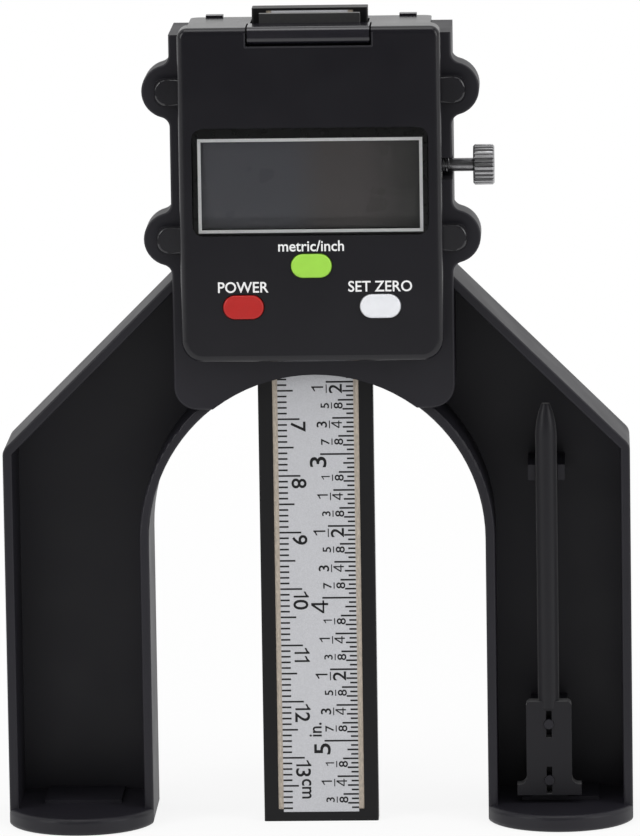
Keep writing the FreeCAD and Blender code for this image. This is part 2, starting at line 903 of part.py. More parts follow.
def make_front_cover():
    body = new_body("front_cover")
    half = s.cover_half
    shell = rounded(-half, half, s.cover_low_up, cover_top_up, s.cover_low_corner, s.cover_top_corner)
    add_outlines(body, "shell", "XZ_Plane", block_front, s.cover_depth, [shell])
    soften(
        body,
        "front_edge",
        "Fillet",
        s.cover_round,
        lambda b: near(b.YLength, 0) and near(b.YMin, -cover_front.value),
    )
    lip_half = half - s.cover_top_corner
    lip = rounded(
        -lip_half, lip_half, -block_front - past, s.lip_back, s.lip_corner, s.cover_top_corner
    )
    add_outlines(body, "lip", "XY_Plane", s.block_top_up, s.lip_thick, [lip])
    hook = rectangle(
        s.hook_across - s.hook_width / 2,
        s.hook_across + s.hook_width / 2,
        s.lip_back - s.hook_reach,
        s.lip_back + s.hook_reach,
    )
    add_outlines(
        body,
        "hooks",
        "XY_Plane",
        s.block_top_up,
        s.lip_thick + s.hook_rise,
        [hook, mirrored(hook)],
    )
    tabs = [
        rounded(
            half - s.cover_side,
            s.tab_half,
            up - s.tab_height / 2,
            up + s.tab_height / 2,
            s.tab_corner,
            s.tab_corner,
        )
        for up in (s.ear_high_up, s.ear_low_up)
    ]
    add_outlines(
        body,
        "tabs",
        "XZ_Plane",
        block_front,
        s.tab_thick,
        tabs + [mirrored(tab) for tab in tabs],
    )
    inside = half - s.cover_side
    hollow = rectangle(-inside, inside, s.cover_low_up + s.cover_side, s.block_top_up)
    cut_outlines(
        body,
        "inside",
        "XZ_Plane",
        block_front,
        s.cover_depth - s.cover_face,
        [hollow],
        forward=True,
    )
    seat = rounded(
        -s.window_half,
        s.window_half,
        s.window_low_up,
        s.window_top_up,
        s.window_corner,
        s.window_corner,
    )
    cut_outlines(body, "window_seat", "XZ_Plane", cover_front, s.window_seat, [seat])
    opening = rectangle(
        s.window_ledge - s.window_half,
        s.window_half - s.window_ledge,
        s.window_low_up + s.window_ledge,
        s.window_top_up - s.window_ledge,
    )
    cut_outlines(body, "window_opening", "XZ_Plane", cover_front, s.cover_face + past, [opening])
    gap = s.button_gap * 2
    holes = [
        stadium(across, up, s.button_width + gap, s.button_height + gap)
        for across, up in button_places().values()
    ]
    cut_outlines(body, "button_holes", "XZ_Plane", cover_front, s.cover_face + past, holes)
    gate_half = s.tray_half + s.notch_gap
    gate = rectangle(-gate_half, gate_half, s.grip_low_up - s.notch_gap, cover_top_up + past)
    cut_outlines(
        body, "tray_notch", "XZ_Plane", cover_front, cover_front - tray_back + s.tray_gap, [gate]
    )
    slot_half = tunnel_half + s.button_gap
    slot = rectangle(-slot_half, slot_half, -board_front - s.tray_gap, -tunnel_back + s.button_gap)
    cut_outlines(
        body,
        "blade_slot",
        "XY_Plane",
        s.block_top_up - past,
        s.lip_thick + past * 2,
        [slot],
        forward=True,
    )
    make_cover_ribs(body, gate_half)
    pilots = [
        (side * s.screw_across, up)
        for side in (as_size(1), as_size(-1))
        for up in (s.ear_high_up, s.ear_low_up)
    ]
    cut_holes(
        body,
        "screw_pilots",
        "XZ_Plane",
        block_front,
        s.screw_bite,
        pilots,
        s.screw_radius,
        forward=True,
    )


def make_cover_ribs(body, gate_half):
    """Rails beside the battery tray, and ribs that locate the glass of the display."""
    rail = rectangle(
        gate_half,
        gate_half + s.rib,
        s.window_top_up + s.rib,
        s.block_top_up,
    )
    add_outlines(
        body,
        "tray_rails",
        "XZ_Plane",
        block_front + s.tray_gap,
        cover_inside - block_front - s.tray_gap,
        [rail, mirrored(rail)],
    )
    glass_low = s.window_low_up + s.glass_margin
    glass_high = s.window_top_up - s.glass_margin
    ribs = [
        rectangle(-gate_half, gate_half, glass_low - s.rib, glass_low),
        rectangle(-gate_half, gate_half, glass_high, glass_high + s.rib / 2),
    ]
    add_outlines(
        body,
        "glass_ribs",
        "XZ_Plane",
        glass_back,
        s.glass_thick + (s.cover_face - s.window_seat) / 2,
        ribs,
    )


def button_places():
    return {
        "power_button": (-s.side_button_across, s.side_button_up),
        "units_button": (as_size(0), s.units_button_up),
        "zero_button": (s.side_button_across, s.side_button_up),
    }


def make_button(name, across, up):
    """A cap with a retaining flange behind the cover and a stem that reaches its switch."""
    body = new_body(name)
    flange_front = cover_inside - s.button_flange_gap
    flange_back = flange_front - s.button_flange_thick
    cap = stadium(across, up, s.button_width, s.button_height)
    add_outlines(body, name + "_cap", "XZ_Plane", flange_back, button_front - flange_back, [cap])
    soften(
        body,
        name + "_crown",
        "Fillet",
        s.button_crown,
        lambda b: near(b.YLength, 0) and near(b.YMin, -button_front.value),
    )
    wide = s.button_flange * 2
    flange = stadium(across, up, s.button_width + wide, s.button_height + wide)
    add_outlines(body, name + "_flange", "XZ_Plane", flange_back, s.button_flange_thick, [flange])
    stem_back = board_front + s.dome_rise + s.press_room
    stem = sketch(body, name + "_stem_sketch", "XZ_Plane", stem_back)
    circle(stem, (across, up), s.stem_radius)
    add(body, name + "_stem", stem, flange_back - stem_back + s.button_flange_thick / 2)


def make_display():
    window = new_body("display_window")
    half = s.window_half - s.window_gap
    plate = rounded(
        -half,
        half,
        s.window_low_up + s.window_gap,
        s.window_top_up - s.window_gap,
        s.window_corner - s.window_gap,
        s.window_corner - s.window_gap,
    )
    add_outlines(
        window, "window_plate", "XZ_Plane", cover_front - s.window_seat, s.window_thick, [plate]
    )
    low = s.window_low_up + s.glass_margin
    high = s.window_top_up - s.glass_margin
    ledge_up = low + s.connector_width + s.glass_margin
    back_glass = box(
        "back_glass", -s.glass_half, s.glass_half, glass_back, glass_back + s.glass_thick / 2, low, high
    )
    front_glass = box(
        "front_glass",
        -s.glass_half,
        s.glass_half,
        glass_back + s.glass_thick / 2,
        cover_inside,
        ledge_up,
        high,
    )
    node("lcd_panel", fused("lcd_panel", [back_glass, front_glass]))
    node(
        "lcd_connector",
        box(
            "lcd_connector",
            -s.connector_half,
            s.connector_half,
            board_front,
            glass_back,
            low,
            low + s.connector_width,
        ),
    )


def make_boards():
    board = new_body("main_board")
    plate = rectangle(-s.board_half, s.board_half, s.board_low_up, s.board_top_up)
    add_outlines(board, "board_plate", "XZ_Plane", board_seat, s.board_thick, [plate])
    places = [
        (side * s.board_screw_across, up)
        for side in (as_size(1), as_size(-1))
        for up in (s.board_low_up + s.board_screw_inset, s.board_top_up - s.board_screw_inset)
    ]
    cut_holes(
        board,
        "board_holes",
        "XZ_Plane",
        board_front,
        s.board_thick + past,
        places,
        s.board_screw_radius + s.sensor_gap,
    )
    node(
        "sensor_board",
        box(
            "sensor_board",
            -s.sensor_half,
            s.sensor_half,
            s.blade_ahead + s.sensor_clear,
            board_seat,
            s.sensor_low_up,
            s.sensor_top_up,
        ),
    )
    screws = []
    for count, (across, up) in enumerate(places):
        shaft_back = board_seat - s.board_screw_depth
        shaft = cylinder(
            f"board_shaft_{count}",
            "ahead",
            s.board_screw_radius,
            board_front - shaft_back,
            across,
            shaft_back,
            up,
        )
        head = cylinder(
            f"board_head_{count}", "ahead", s.board_head_radius, s.board_head_thick, across, board_front, up
        )
        screws.append(fused(f"board_screw_{count}", [shaft, head]))
    node("board_screws", group("board_screws", screws))
    domes = [
        cone(
            f"dome_{name}",
            "ahead",
            s.dome_radius,
            s.dome_top_radius,
            s.dome_rise,
            across,
            board_front,
            up,
        )
        for name, (across, up) in button_places().items()
    ]
    node("key_domes", group("key_domes", domes))


def make_contacts():
    """Two spring leaves: one behind the cell, through the tray's slot, and one in front of it."""
    low = s.contact_low_up
    leaf_front = cell_back - s.contact_thick
    back_foot = box(
        "back_foot",
        -s.contact_half,
        s.contact_half,
        board_front,
        leaf_front,
        low,
        low + s.contact_thick,
    )
    back_leaf = box(
        "back_leaf",
        -s.contact_half,
        s.contact_half,
        leaf_front - s.contact_thick,
        leaf_front,
        low,
        s.contact_top_up,
    )
    left = s.leaf_across - s.contact_half
    right = s.leaf_across + s.contact_half
    face_back = tray_front + s.contact_thick
    front_foot = box(
        "front_foot", left, right, board_front, face_back + s.contact_thick, low, low + s.contact_thick
    )
    front_leaf = box(
        "front_leaf", left, right, face_back, face_back + s.contact_thick, low, s.contact_top_up
    )
    leaves = [
        fused("back_contact", [back_foot, back_leaf]),
        fused("front_contact", [front_foot, front_leaf]),
    ]
    node("battery_contacts", group("battery_contacts", leaves))


def make_battery_tray():
    body = new_body("battery_tray")
    half = s.tray_half
    slab = rectangle(-half, half, s.tray_low_up, s.grip_low_up + past)
    add_outlines(body, "tray_slab", "XZ_Plane", tray_back, tray_front - tray_back, [slab])
    grip = rectangle(-half, half, s.grip_low_up, s.grip_top_up)
    grip_front = cover_front - s.grip_inset
    add_outlines(body, "grip", "XZ_Plane", tray_back, grip_front - tray_back, [grip])
    soften(
        body,
        "grip_edges",
        "Fillet",
        s.grip_round,
        lambda b: near(b.YLength, 0)
        and near(b.YMin, -grip_front.value)
        and near(b.ZLength, 0),
    )
    cut_holes(
        body,
        "cell_seat",
        "XZ_Plane",
        tray_front,
        s.cell_thick,
        [(as_size(0), s.cell_up)],
        s.cell_radius + s.cell_gap,
    )
    side = rectangle(
        s.cell_side_half, half + past, s.cell_up - s.cell_side_cut, s.cell_up + s.cell_side_cut
    )
    cut_outlines(
        body, "side_cuts", "XZ_Plane", tray_front, s.cell_thick, [side, mirrored(side)]
    )
    reach = s.contact_half + s.contact_gap
    slot = rectangle(-reach, reach, s.tray_low_up - past, s.slot_top_up)
    cut_outlines(
        body, "contact_slot", "XZ_Plane", tray_front, tray_front - tray_back + past, [slot]
    )
    node(
        "coin_cell",
        cylinder(
            "coin_cell", "ahead", s.cell_radius, s.cell_thick, as_size(0), cell_back, s.cell_up
        ),
    )


def make_blade():
    body = new_body("blade_beam")
    half = s.blade_width / 2
    beam = rectangle(-half, half, as_size(0), s.blade_length)
    add_outlines(body, "beam", "XZ_Plane", blade_back, s.blade_thick, [beam])
    soften(
        body,
        "blade_edges",
        "Fillet",
        s.blade_round,
        lambda b: near(b.XLength, 0) and near(b.YLength, 0),
    )
    scale_depth = s.scale_board_thick + s.scale_plate_thick
    scale_top_up = s.blade_length - s.scale_top_end
    seat_top_up = scale_top_up + s.scale_gap
    seat_half = s.scale_board_width / 2 + s.scale_gap
    seat = rectangle(-seat_half, seat_half, s.scale_board_low_up - s.scale_gap, seat_top_up)
    cut_outlines(body, "scale_seat", "XZ_Plane", s.blade_ahead, scale_depth, [seat])
    step_half = s.scale_plate_width / 2 + s.scale_gap
    step = rectangle(-step_half, step_half, s.scale_plate_low_up - s.scale_gap, seat_top_up)
    cut_outlines(body, "plate_step", "XZ_Plane", s.blade_ahead, s.scale_plate_thick, [step])
    board_ahead = s.blade_ahead - scale_depth
    plate_ahead = s.blade_ahead - s.scale_plate_thick
    node(
        "scale_board",
        box(
            "scale_board",
            -s.scale_board_width / 2,
            s.scale_board_width / 2,
            board_ahead,
            plate_ahead,
            s.scale_board_low_up,
            scale_top_up,
        ),
    )
    node(
        "scale_plate",
        box(
            "scale_plate",
            -s.scale_plate_width / 2,
            s.scale_plate_width / 2,
            plate_ahead,
            s.blade_ahead,
            s.scale_plate_low_up,
            scale_top_up,
        ),
    )


def make_wiper_and_spring():
    felt_back = s.blade_ahead + s.felt_gap
    node(
        "wiper_felt",
        box(
            "wiper_felt",
            -s.felt_half,
            s.felt_half,
            felt_back,
            felt_back + s.felt_thick,
            recess_top_up,
            s.felt_top_up,
        ),
    )
    body = new_body("gib_spring")
    floor = tunnel_back - s.spring_seat
    crest = blade_back - s.spring_gap
    thick = s.spring_thick
    flat = s.spring_length / 4
    low = s.spring_low_up
    strip = [
        (-floor, low),
        (-crest + thick, low + flat),
        (-crest + thick, low + flat * 3),
        (-floor, low + flat * 4),
        (-floor - thick, low + flat * 4),
        (-crest, low + flat * 3),
        (-crest, low + flat),
        (-floor - thick, low),
    ]
    add_outlines(body, "strip", "YZ_Plane", -s.spring_half, s.spring_half * 2, [strip])


def make_lock():
    """The brass pad that touches the blade, its screw and knurled knob, and the captive nut."""
    pad_start = s.blade_width / 2 + s.lock_pad_play
    screw_start = pad_start + s.lock_pad_length
    node(
        "lock_pad",
        cylinder(
            "lock_pad",
            "x",
            s.lock_radius,
            s.lock_pad_length,
            pad_start,
            s.lock_ahead,
            s.lock_up,
        ),
    )
    screw_end = s.knob_start + s.knob_length - s.knob_chamfer
    node(
        "lock_screw",
        cylinder(
            "lock_screw",
            "x",
            s.lock_radius,
            screw_end - screw_start,
            screw_start,
            s.lock_ahead,
            s.lock_up,
        ),
    )
    side = s.nut_side / 2
    nut_block = box(
        "nut_block",
        s.nut_start,
        s.nut_start + s.nut_thick,
        s.lock_ahead - side,
        s.lock_ahead + side,
        s.lock_up - side,
        s.lock_up + side,
    )
    nut_hole = cylinder(
        "nut_hole",
        "x",
        s.lock_radius + s.nut_gap,
        s.nut_thick + past * 2,
        s.nut_start - past,
        s.lock_ahead,
        s.lock_up,
    )
    node("lock_nut", without("lock_nut", nut_block, nut_hole))
    make_knob()


def make_knob():
    """The knob stands at the origin along X, and its placement carries it to the screw."""
    body = new_body("lock_knob")
    blank = sketch(body, "knob_blank_sketch", "YZ_Plane", 0)
    circle(blank, (as_size(0), as_size(0)), s.knob_radius)
    circle(blank, (as_size(0), as_size(0)), s.lock_radius)
    add(body, "knob_blank", blank, s.knob_length)
    soften(
        body,
        "knob_ends",
        "Chamfer",
        s.knob_chamfer,
        lambda b: near(b.XLength, 0) and b.ZLength > s.knob_radius.value,
    )
    valley_radius = s.knob_radius - s.knob_groove
    crest_radius = s.knob_radius + s.knob_groove
    groove_half = s.knob_groove * 2
    groove = sketch(body, "groove_sketch", "YZ_Plane", -past)
    outline(
        groove,
        [
            (valley_radius, as_size(0)),
            (crest_radius, -groove_half),
            (crest_radius, groove_half),
        ],
    )
    cut(body, "groove", groove, s.knob_length + past * 2, forward=True)
    doc.recompute()
    grooves = body.newObject("PartDesign::PolarPattern", "grooves")
    grooves.Originals = [doc.getObject("groove")]
    axis = [item for item in body.Origin.OriginFeatures if item.Role == "X_Axis"][0]
    grooves.Axis = (axis, [""])
    grooves.Angle = 360
    bind(grooves, "Occurrences", s.knob_ridges)
    body.Tip = grooves
    place(body, s.knob_start, -s.lock_ahead, s.lock_up)


def make_case_screws():
    seat = block_front - s.ear_depth
    screws = []
    for side in (as_size(1), as_size(-1)):
        for up in (s.ear_high_up, s.ear_low_up):
            count = len(screws)
            shaft = cylinder(
                f"case_shaft_{count}",
                "ahead",
                s.screw_radius,
                s.ear_depth + s.screw_bite,
                side * s.screw_across,
                seat,
                up,
            )
            head = cylinder(
                f"case_head_{count}",
                "ahead",
                s.screw_head_radius,
                s.screw_head_thick,
                side * s.screw_across,
                seat - s.screw_head_thick,
                up,
            )
            screws.append(fused(f"case_screw_{count}", [shaft, head]))
    node("case_screws", group("case_screws", screws))


def make_magnets():
    discs = [
        cylinder(
            f"magnet_{name}",
            "up",
            s.magnet_radius,
            s.magnet_thick,
            side * leg_middle,
            boss_middle_ahead,
            as_size(0),
        )
        for name, side in (("right", as_size(1)), ("left", as_size(-1)))
    ]
    node("foot_magnets", group("foot_magnets", discs))


def make_measuring_pin():
    """A pointed rod on a flat holder, whose split holes snap over two pegs."""
    body = new_body("measuring_pin")
    x = pin_across
    half = s.holder_half
    foot = s.holder_foot_half
    bend = s.holder_corner
    flare = s.holder_flare
    top = s.holder_top_up
    ledge = s.holder_foot_top_up
    holder = [
        (x - foot, s.holder_low_up),
        (x + foot, s.holder_low_up),
        (x + foot, ledge),
        (x + half + flare, ledge, flare, "right"),
        (x + half, ledge + flare),
        (x + half, top - bend, bend, "left"),
        (x + half - bend, top),
        (x - half + bend, top, bend, "left"),
        (x - half, top - bend),
        (x - half, ledge + flare, flare, "right"),
        (x - half - flare, ledge),
        (x - foot, ledge),
    ]
    add_outlines(body, "holder", "XZ_Plane", s.holder_ahead, s.holder_thick, [holder])
    narrowing = s.pin_radius - s.pin_tip_radius
    taper = s.pin_tip_up - s.pin_taper_up
    tip_bend = (narrowing * narrowing + taper * taper) / (narrowing * 2)
    rod = sketch(body, "rod_sketch", "XZ_Plane", s.pin_ahead, x)
    outline(
        rod,
        [
            (as_size(0), s.pin_rod_up),
            (s.pin_radius, s.pin_rod_up),
            (s.pin_radius, s.pin_taper_up, tip_bend, "left"),
            (s.pin_tip_radius, s.pin_tip_up),
            (as_size(0), s.pin_tip_up),
        ],
    )
    turn = body.newObject("PartDesign::Revolution", "rod")
    turn.Profile = (rod, [""])
    turn.ReferenceAxis = (rod, ["V_Axis"])
    turn.Angle = 360
    body.Tip = turn
    front = s.holder_ahead + s.holder_thick
    pegs = (s.peg_high_up, s.peg_low_up)
    cut_holes(
        body,
        "peg_holes",
        "XZ_Plane",
        front,
        s.holder_thick + past,
        [(x, up) for up in pegs],
        s.peg_radius + s.peg_gap,
    )
    slits = [
        rectangle(x - s.slit_half, x + s.slit_half, up - s.slit_reach, up + s.slit_reach) for up in pegs
    ]
    cut_outlines(body, "slits", "XZ_Plane", front, s.holder_thick + past, slits)


def check_model():
    """Stops with a message where any object failed, and where a cut removed nothing."""
    doc.recompute()
    for thing in doc.Objects:
        if "Invalid" in thing.State or "Error" in thing.State:
            raise RuntimeError(f"{thing.Name} failed: {thing.State}")
        if thing.TypeId == "PartDesign::Pocket":
            before = thing.BaseFeature.Shape.Volume
            if before - thing.Shape.Volume < 1e-3:
                raise RuntimeError(f"{thing.Name} cuts nothing")
    for name, thing in nodes:
        shape = thing.Shape
        if shape.isNull() or not shape.isValid() or not shape.Solids:
            raise RuntimeError(f"{name} is not a good solid")


def write_parts():
    os.makedirs("parts", exist_ok=True)
    for name, thing in nodes:
        thing.Shape.exportStep(f"parts/{name}.step")
        box_of = thing.Shape.BoundBox
        print(
            f"{name}: {len(thing.Shape.Solids)} solid(s), {thing.Shape.Volume:.1f} mm3,"
            f" X {box_of.XMin:.2f} {box_of.XMax:.2f}, Y {box_of.YMin:.2f} {box_of.YMax:.2f},"
            f" Z {box_of.ZMin:.2f} {box_of.ZMax:.2f}"
        )


make_stand_frame()
make_front_cover()
for button_name, (button_across, button_up) in button_places().items():
    make_button(button_name, button_across, button_up)
make_display()
make_boards()
make_contacts()
make_battery_tray()
make_blade()
make_wiper_and_spring()
make_lock()
make_case_screws()
make_magnets()
make_measuring_pin()
check_model()
write_parts()
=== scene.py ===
"""A digital height gauge: the finish of its pieces, its printed scale and marks, and a pale stage.

The sidebar panel lists one button for each group of pieces. The sizes are in metres, +Z is up, and the
display faces -Y. The origin is on the table, in the middle under the stand.
"""

import math

import bmesh
import bpy
from bpy.props import BoolProperty, FloatProperty, FloatVectorProperty, PointerProperty
from mathutils import Matrix, Vector


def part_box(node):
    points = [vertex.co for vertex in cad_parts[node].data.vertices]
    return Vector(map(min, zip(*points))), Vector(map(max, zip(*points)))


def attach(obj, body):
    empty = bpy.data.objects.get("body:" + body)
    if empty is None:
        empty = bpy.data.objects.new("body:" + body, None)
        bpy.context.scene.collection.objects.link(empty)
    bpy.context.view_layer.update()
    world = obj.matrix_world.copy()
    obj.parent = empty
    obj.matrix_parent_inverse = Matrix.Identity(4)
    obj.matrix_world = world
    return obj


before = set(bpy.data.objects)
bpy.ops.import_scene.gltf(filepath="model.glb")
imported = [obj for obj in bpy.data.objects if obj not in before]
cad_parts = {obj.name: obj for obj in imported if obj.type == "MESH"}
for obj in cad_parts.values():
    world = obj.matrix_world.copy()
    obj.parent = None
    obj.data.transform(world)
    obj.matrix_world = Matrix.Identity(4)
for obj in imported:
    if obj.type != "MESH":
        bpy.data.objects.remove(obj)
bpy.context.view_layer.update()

bl_info = {
    "name": "Height gauge",
    "version": (1, 0, 0),
    "blender": (4, 5, 0),
    "location": "View3D > Sidebar > Gauge",
    "description": "Dresses a digital height gauge with its finishes, scale print and marks",
    "category": "Object",
}

MM = 0.001
INCH = 25.4 * MM

# Shares of the built-in typeface's size: a figure's height, and how far every outline is thickened
FIGURE_HEIGHT = 0.729
FIGURE_BOLD = 0.012

# The strokes of a 1 with a flag and of an open 4. A stroke's corners are given from the figure's lower
# left, across and up, as shares of its height.
DRAWN_FIGURES = {
    "1": (
        (
            (0.26, 0.0), (0.38, 0.0), (0.38, 1.0), (0.30, 1.0),
            (0.18, 0.87), (0.0, 0.78), (0.0, 0.66), (0.26, 0.79),
        ),
    ),
    "4": (
        ((0.40, 0.0), (0.51, 0.0), (0.51, 1.0), (0.40, 1.0)),
        ((0.0, 0.235), (0.64, 0.235), (0.64, 0.335), (0.0, 0.335)),
        ((0.0, 0.335), (0.125, 0.335), (0.40, 0.80), (0.40, 1.0), (0.385, 1.0)),
    ),
}


# Sizes and colours that a user would change

class PrintSizes(bpy.types.PropertyGroup):
    """Sizes of everything that is printed on the gauge."""

    ink_thick: FloatProperty(
        name="Ink thickness",
        description="How far a printed mark stands on its surface",
        default=0.02 * MM,
        unit="LENGTH",
    )
    line_width: FloatProperty(
        name="Scale line width",
        description="Width of a graduation line",
        default=0.30 * MM,
        unit="LENGTH",
    )
    zero_below_top: FloatProperty(
        name="Zero below blade top",
        description="Distance from the top of the blade to the scale's zero",
        default=1.8 * MM,
        unit="LENGTH",
    )
    number_gap: FloatProperty(
        name="Number gap",
        description="Distance from a graduation line to the number under it",
        default=0.45 * MM,
        unit="LENGTH",
    )
    metric_figure: FloatProperty(
        name="Centimetre figure height",
        description="Height of a figure on the centimetre scale",
        default=2.65 * MM,
        unit="LENGTH",
    )
    inch_figure: FloatProperty(
        name="Inch figure height",
        description="Height of a whole number on the inch scale",
        default=2.95 * MM,
        unit="LENGTH",
    )
    window_line: FloatProperty(
        name="Window line width",
        description="Width of the white line round the display",
        default=0.56 * MM,
        unit="LENGTH",
    )
    legend_height: FloatProperty(
        name="Legend height",
        description="Height of a capital in the words above the buttons",
        default=1.92 * MM,
        unit="LENGTH",
    )


class FinishColours(bpy.types.PropertyGroup):
    """Colours of the gauge's finishes."""

    moulding: FloatVectorProperty(
        name="Black moulding",
        description="Colour of the moulded stand and cover",
        subtype="COLOR",
        default=(0.0058, 0.0054, 0.0078),
    )
    blade: FloatVectorProperty(
        name="Blade moulding",
        description="Colour of the sliding blade",
        subtype="COLOR",
        default=(0.0062, 0.0061, 0.0068),
    )
    power_key: FloatVectorProperty(
        name="Power button",
        description="Colour of the power button",
        subtype="COLOR",
        default=(0.43, 0.012, 0.010),
    )
    units_key: FloatVectorProperty(
        name="Units button",
        description="Colour of the units button",
        subtype="COLOR",
        default=(0.33, 0.66, 0.065),
    )
    zero_key: FloatVectorProperty(
        name="Zero button",
        description="Colour of the zero button",
        subtype="COLOR",
        default=(0.76, 0.77, 0.80),
    )
    scale_plate: FloatVectorProperty(
        name="Scale plate",
        description="Colour of the satin scale plate",
        subtype="COLOR",
        default=(0.56, 0.565, 0.59),
    )
    laminate: FloatVectorProperty(
        name="Scale laminate",
        description="Colour of the laminate under the scale plate",
        subtype="COLOR",
        default=(0.52, 0.45, 0.37),
    )


class StageSettings(bpy.types.PropertyGroup):
    """The camera and the floor."""

    azimuth: FloatProperty(
        name="Camera azimuth",
        description="How far the camera stands to the right of the front",
        default=math.radians(2.0),
        subtype="ANGLE",
    )
    elevation: FloatProperty(
        name="Camera elevation",
        description="How far the camera stands above the level of the gauge's middle",
        default=math.radians(8.95),
        subtype="ANGLE",
    )
    roll: FloatProperty(
        name="Camera roll",
        description="How far the camera leans to its right",
        default=math.radians(0.857),
        subtype="ANGLE",
    )
    distance: FloatProperty(
        name="Camera distance",
        description="Distance from the camera to the point it looks at",
        default=1.40,
        unit="LENGTH",
    )
    focal_length: FloatProperty(
        name="Focal length",
        description="Focal length for a 36 mm sensor",
        default=345.0,
        unit="CAMERA",
    )
    aim_across: FloatProperty(
        name="Aim across",
        description="How far to the right of the middle the camera looks",
        default=0.51 * MM,
        unit="LENGTH",
    )
    aim_up: FloatProperty(
        name="Aim height",
        description="Height of the point that the camera looks at",
        default=70.32 * MM,
        unit="LENGTH",
    )
    show_floor: BoolProperty(
        name="Floor",
        description="Put a pale floor under the gauge",
        default=True,
    )


# Finishes

def new_material(name, colour, roughness, metallic=0.0, specular=0.5):
    """A material, its principled shader and its node tree."""
    material = bpy.data.materials.new(name)
    material.use_nodes = True
    shader = material.node_tree.nodes["Principled BSDF"]
    shader.inputs["Base Color"].default_value = (*colour, 1.0)
    shader.inputs["Roughness"].default_value = roughness
    shader.inputs["Metallic"].default_value = metallic
    shader.inputs["Specular IOR Level"].default_value = specular
    return material, shader, material.node_tree


def object_place(tree, stretch=(1.0, 1.0, 1.0), turn=(0.0, 0.0, 0.0)):
    """Object coordinates through a Mapping node."""
    place = tree.nodes.new("ShaderNodeTexCoord")
    mapping = tree.nodes.new("ShaderNodeMapping")
    mapping.inputs["Scale"].default_value = stretch
    mapping.inputs["Rotation"].default_value = turn
    tree.links.new(place.outputs["Object"], mapping.inputs["Vector"])
    return mapping.outputs["Vector"]


def axis_of(tree, place, axis):
    """One coordinate of a place."""
    split = tree.nodes.new("ShaderNodeSeparateXYZ")
    tree.links.new(place, split.inputs["Vector"])
    return split.outputs[axis]


def noise(tree, place, cell, detail=2.0, roughness=0.5):
    """A noise whose cells are about as wide as cell."""
    texture = tree.nodes.new("ShaderNodeTexNoise")
    texture.inputs["Scale"].default_value = 1 / cell
    texture.inputs["Detail"].default_value = detail
    texture.inputs["Roughness"].default_value = roughness
    tree.links.new(place, texture.inputs["Vector"])
    return texture.outputs["Fac"]


def ramp(tree, value, low, high, from_low=0.3, from_high=0.7):
    """value from its own range to the range from low to high."""
    spread = tree.nodes.new("ShaderNodeMapRange")
    spread.inputs["From Min"].default_value = from_low
    spread.inputs["From Max"].default_value = from_high
    spread.inputs["To Min"].default_value = low
    spread.inputs["To Max"].default_value = high
    tree.links.new(value, spread.inputs["Value"])
    return spread.outputs["Result"]


def tint(tree, shader, value, stops):
    """Colours the surface by value, from stops of position and colour."""
    table = tree.nodes.new("ShaderNodeValToRGB")
    elements = table.color_ramp.elements
    for element, (position, colour) in ((elements[0], stops[0]), (elements[1], stops[-1])):
        element.position = position
        element.color = (*colour, 1.0)
    for position, colour in stops[1:-1]:
        elements.new(position).color = (*colour, 1.0)
    tree.links.new(value, table.inputs["Fac"])
    tree.links.new(table.outputs["Color"], shader.inputs["Base Color"])


def shaded(colour, share):
    """colour made darker or lighter by share."""
    return tuple(min(1.0, part * share) for part in colour)


def roughen(tree, shader, place, cell, rough):
    """Uneven gloss: the roughness wanders between the two values of rough."""
    value = ramp(tree, noise(tree, place, cell, 3.0), *rough)
    tree.links.new(value, shader.inputs["Roughness"])


def grain(tree, shader, height, strength, depth):
    """A fine relief from a height."""
    bump = tree.nodes.new("ShaderNodeBump")
    bump.inputs["Strength"].default_value = strength
    bump.inputs["Distance"].default_value = depth
    tree.links.new(height, bump.inputs["Height"])
    tree.links.new(bump.outputs["Normal"], shader.inputs["Normal"])


def moulded_plastic(name, colour, rough, grain_size, relief, dust, shine=0.42, bloom=0.0):
    """Moulded plastic with spark-eroded grain and uneven satin gloss.

    rough is the least and the greatest roughness, dust is how much lighter the dustiest patches are,
    and bloom is a pale haze that shows most at the edges.
    """
    material, shader, tree = new_material(name, colour, rough[0], specular=shine)
    shader.inputs["Sheen Weight"].default_value = bloom
    shader.inputs["Sheen Roughness"].default_value = 0.5
    place = object_place(tree)
    cloud = noise(tree, place, 18 * MM, 4.0, 0.6)
    tint(tree, shader, cloud, [(0.35, colour), (0.75, shaded(colour, dust))])
    roughen(tree, shader, place, 9 * MM, rough)
    fine = noise(tree, place, grain_size, 2.0, 0.65)
    grain(tree, shader, fine, relief, 0.012 * MM)
    return material


def turned_metal(name, colour, rough, stretch=(1.0, 1.0, 1.0), relief=0.25):
    """Metal with fine tool marks, which stretch makes long along one way."""
    material, shader, tree = new_material(name, colour, rough[0], metallic=1.0)
    place = object_place(tree, stretch)
    marks = noise(tree, place, 0.25 * MM, 3.0, 0.7)
    tint(tree, shader, marks, [(0.3, shaded(colour, 0.72)), (0.7, colour)])
    roughen(tree, shader, place, 1.2 * MM, rough)
    grain(tree, shader, marks, relief, 0.01 * MM)
    return material


def key_plastic(name, colour):
    """Glossy coloured plastic of a button."""
    material, shader, tree = new_material(name, colour, 0.32, specular=0.4)
    shader.inputs["Subsurface Weight"].default_value = 0.06
    shader.inputs["Subsurface Radius"].default_value = (0.4 * MM, 0.4 * MM, 0.4 * MM)
    place = object_place(tree)
    cloud = noise(tree, place, 1.6 * MM, 3.0)
    tint(tree, shader, cloud, [(0.3, shaded(colour, 0.94)), (0.7, colour)])
    roughen(tree, shader, place, 2.0 * MM, (0.28, 0.4))
    grain(tree, shader, noise(tree, place, 0.2 * MM), 0.12, 0.01 * MM)
    return material


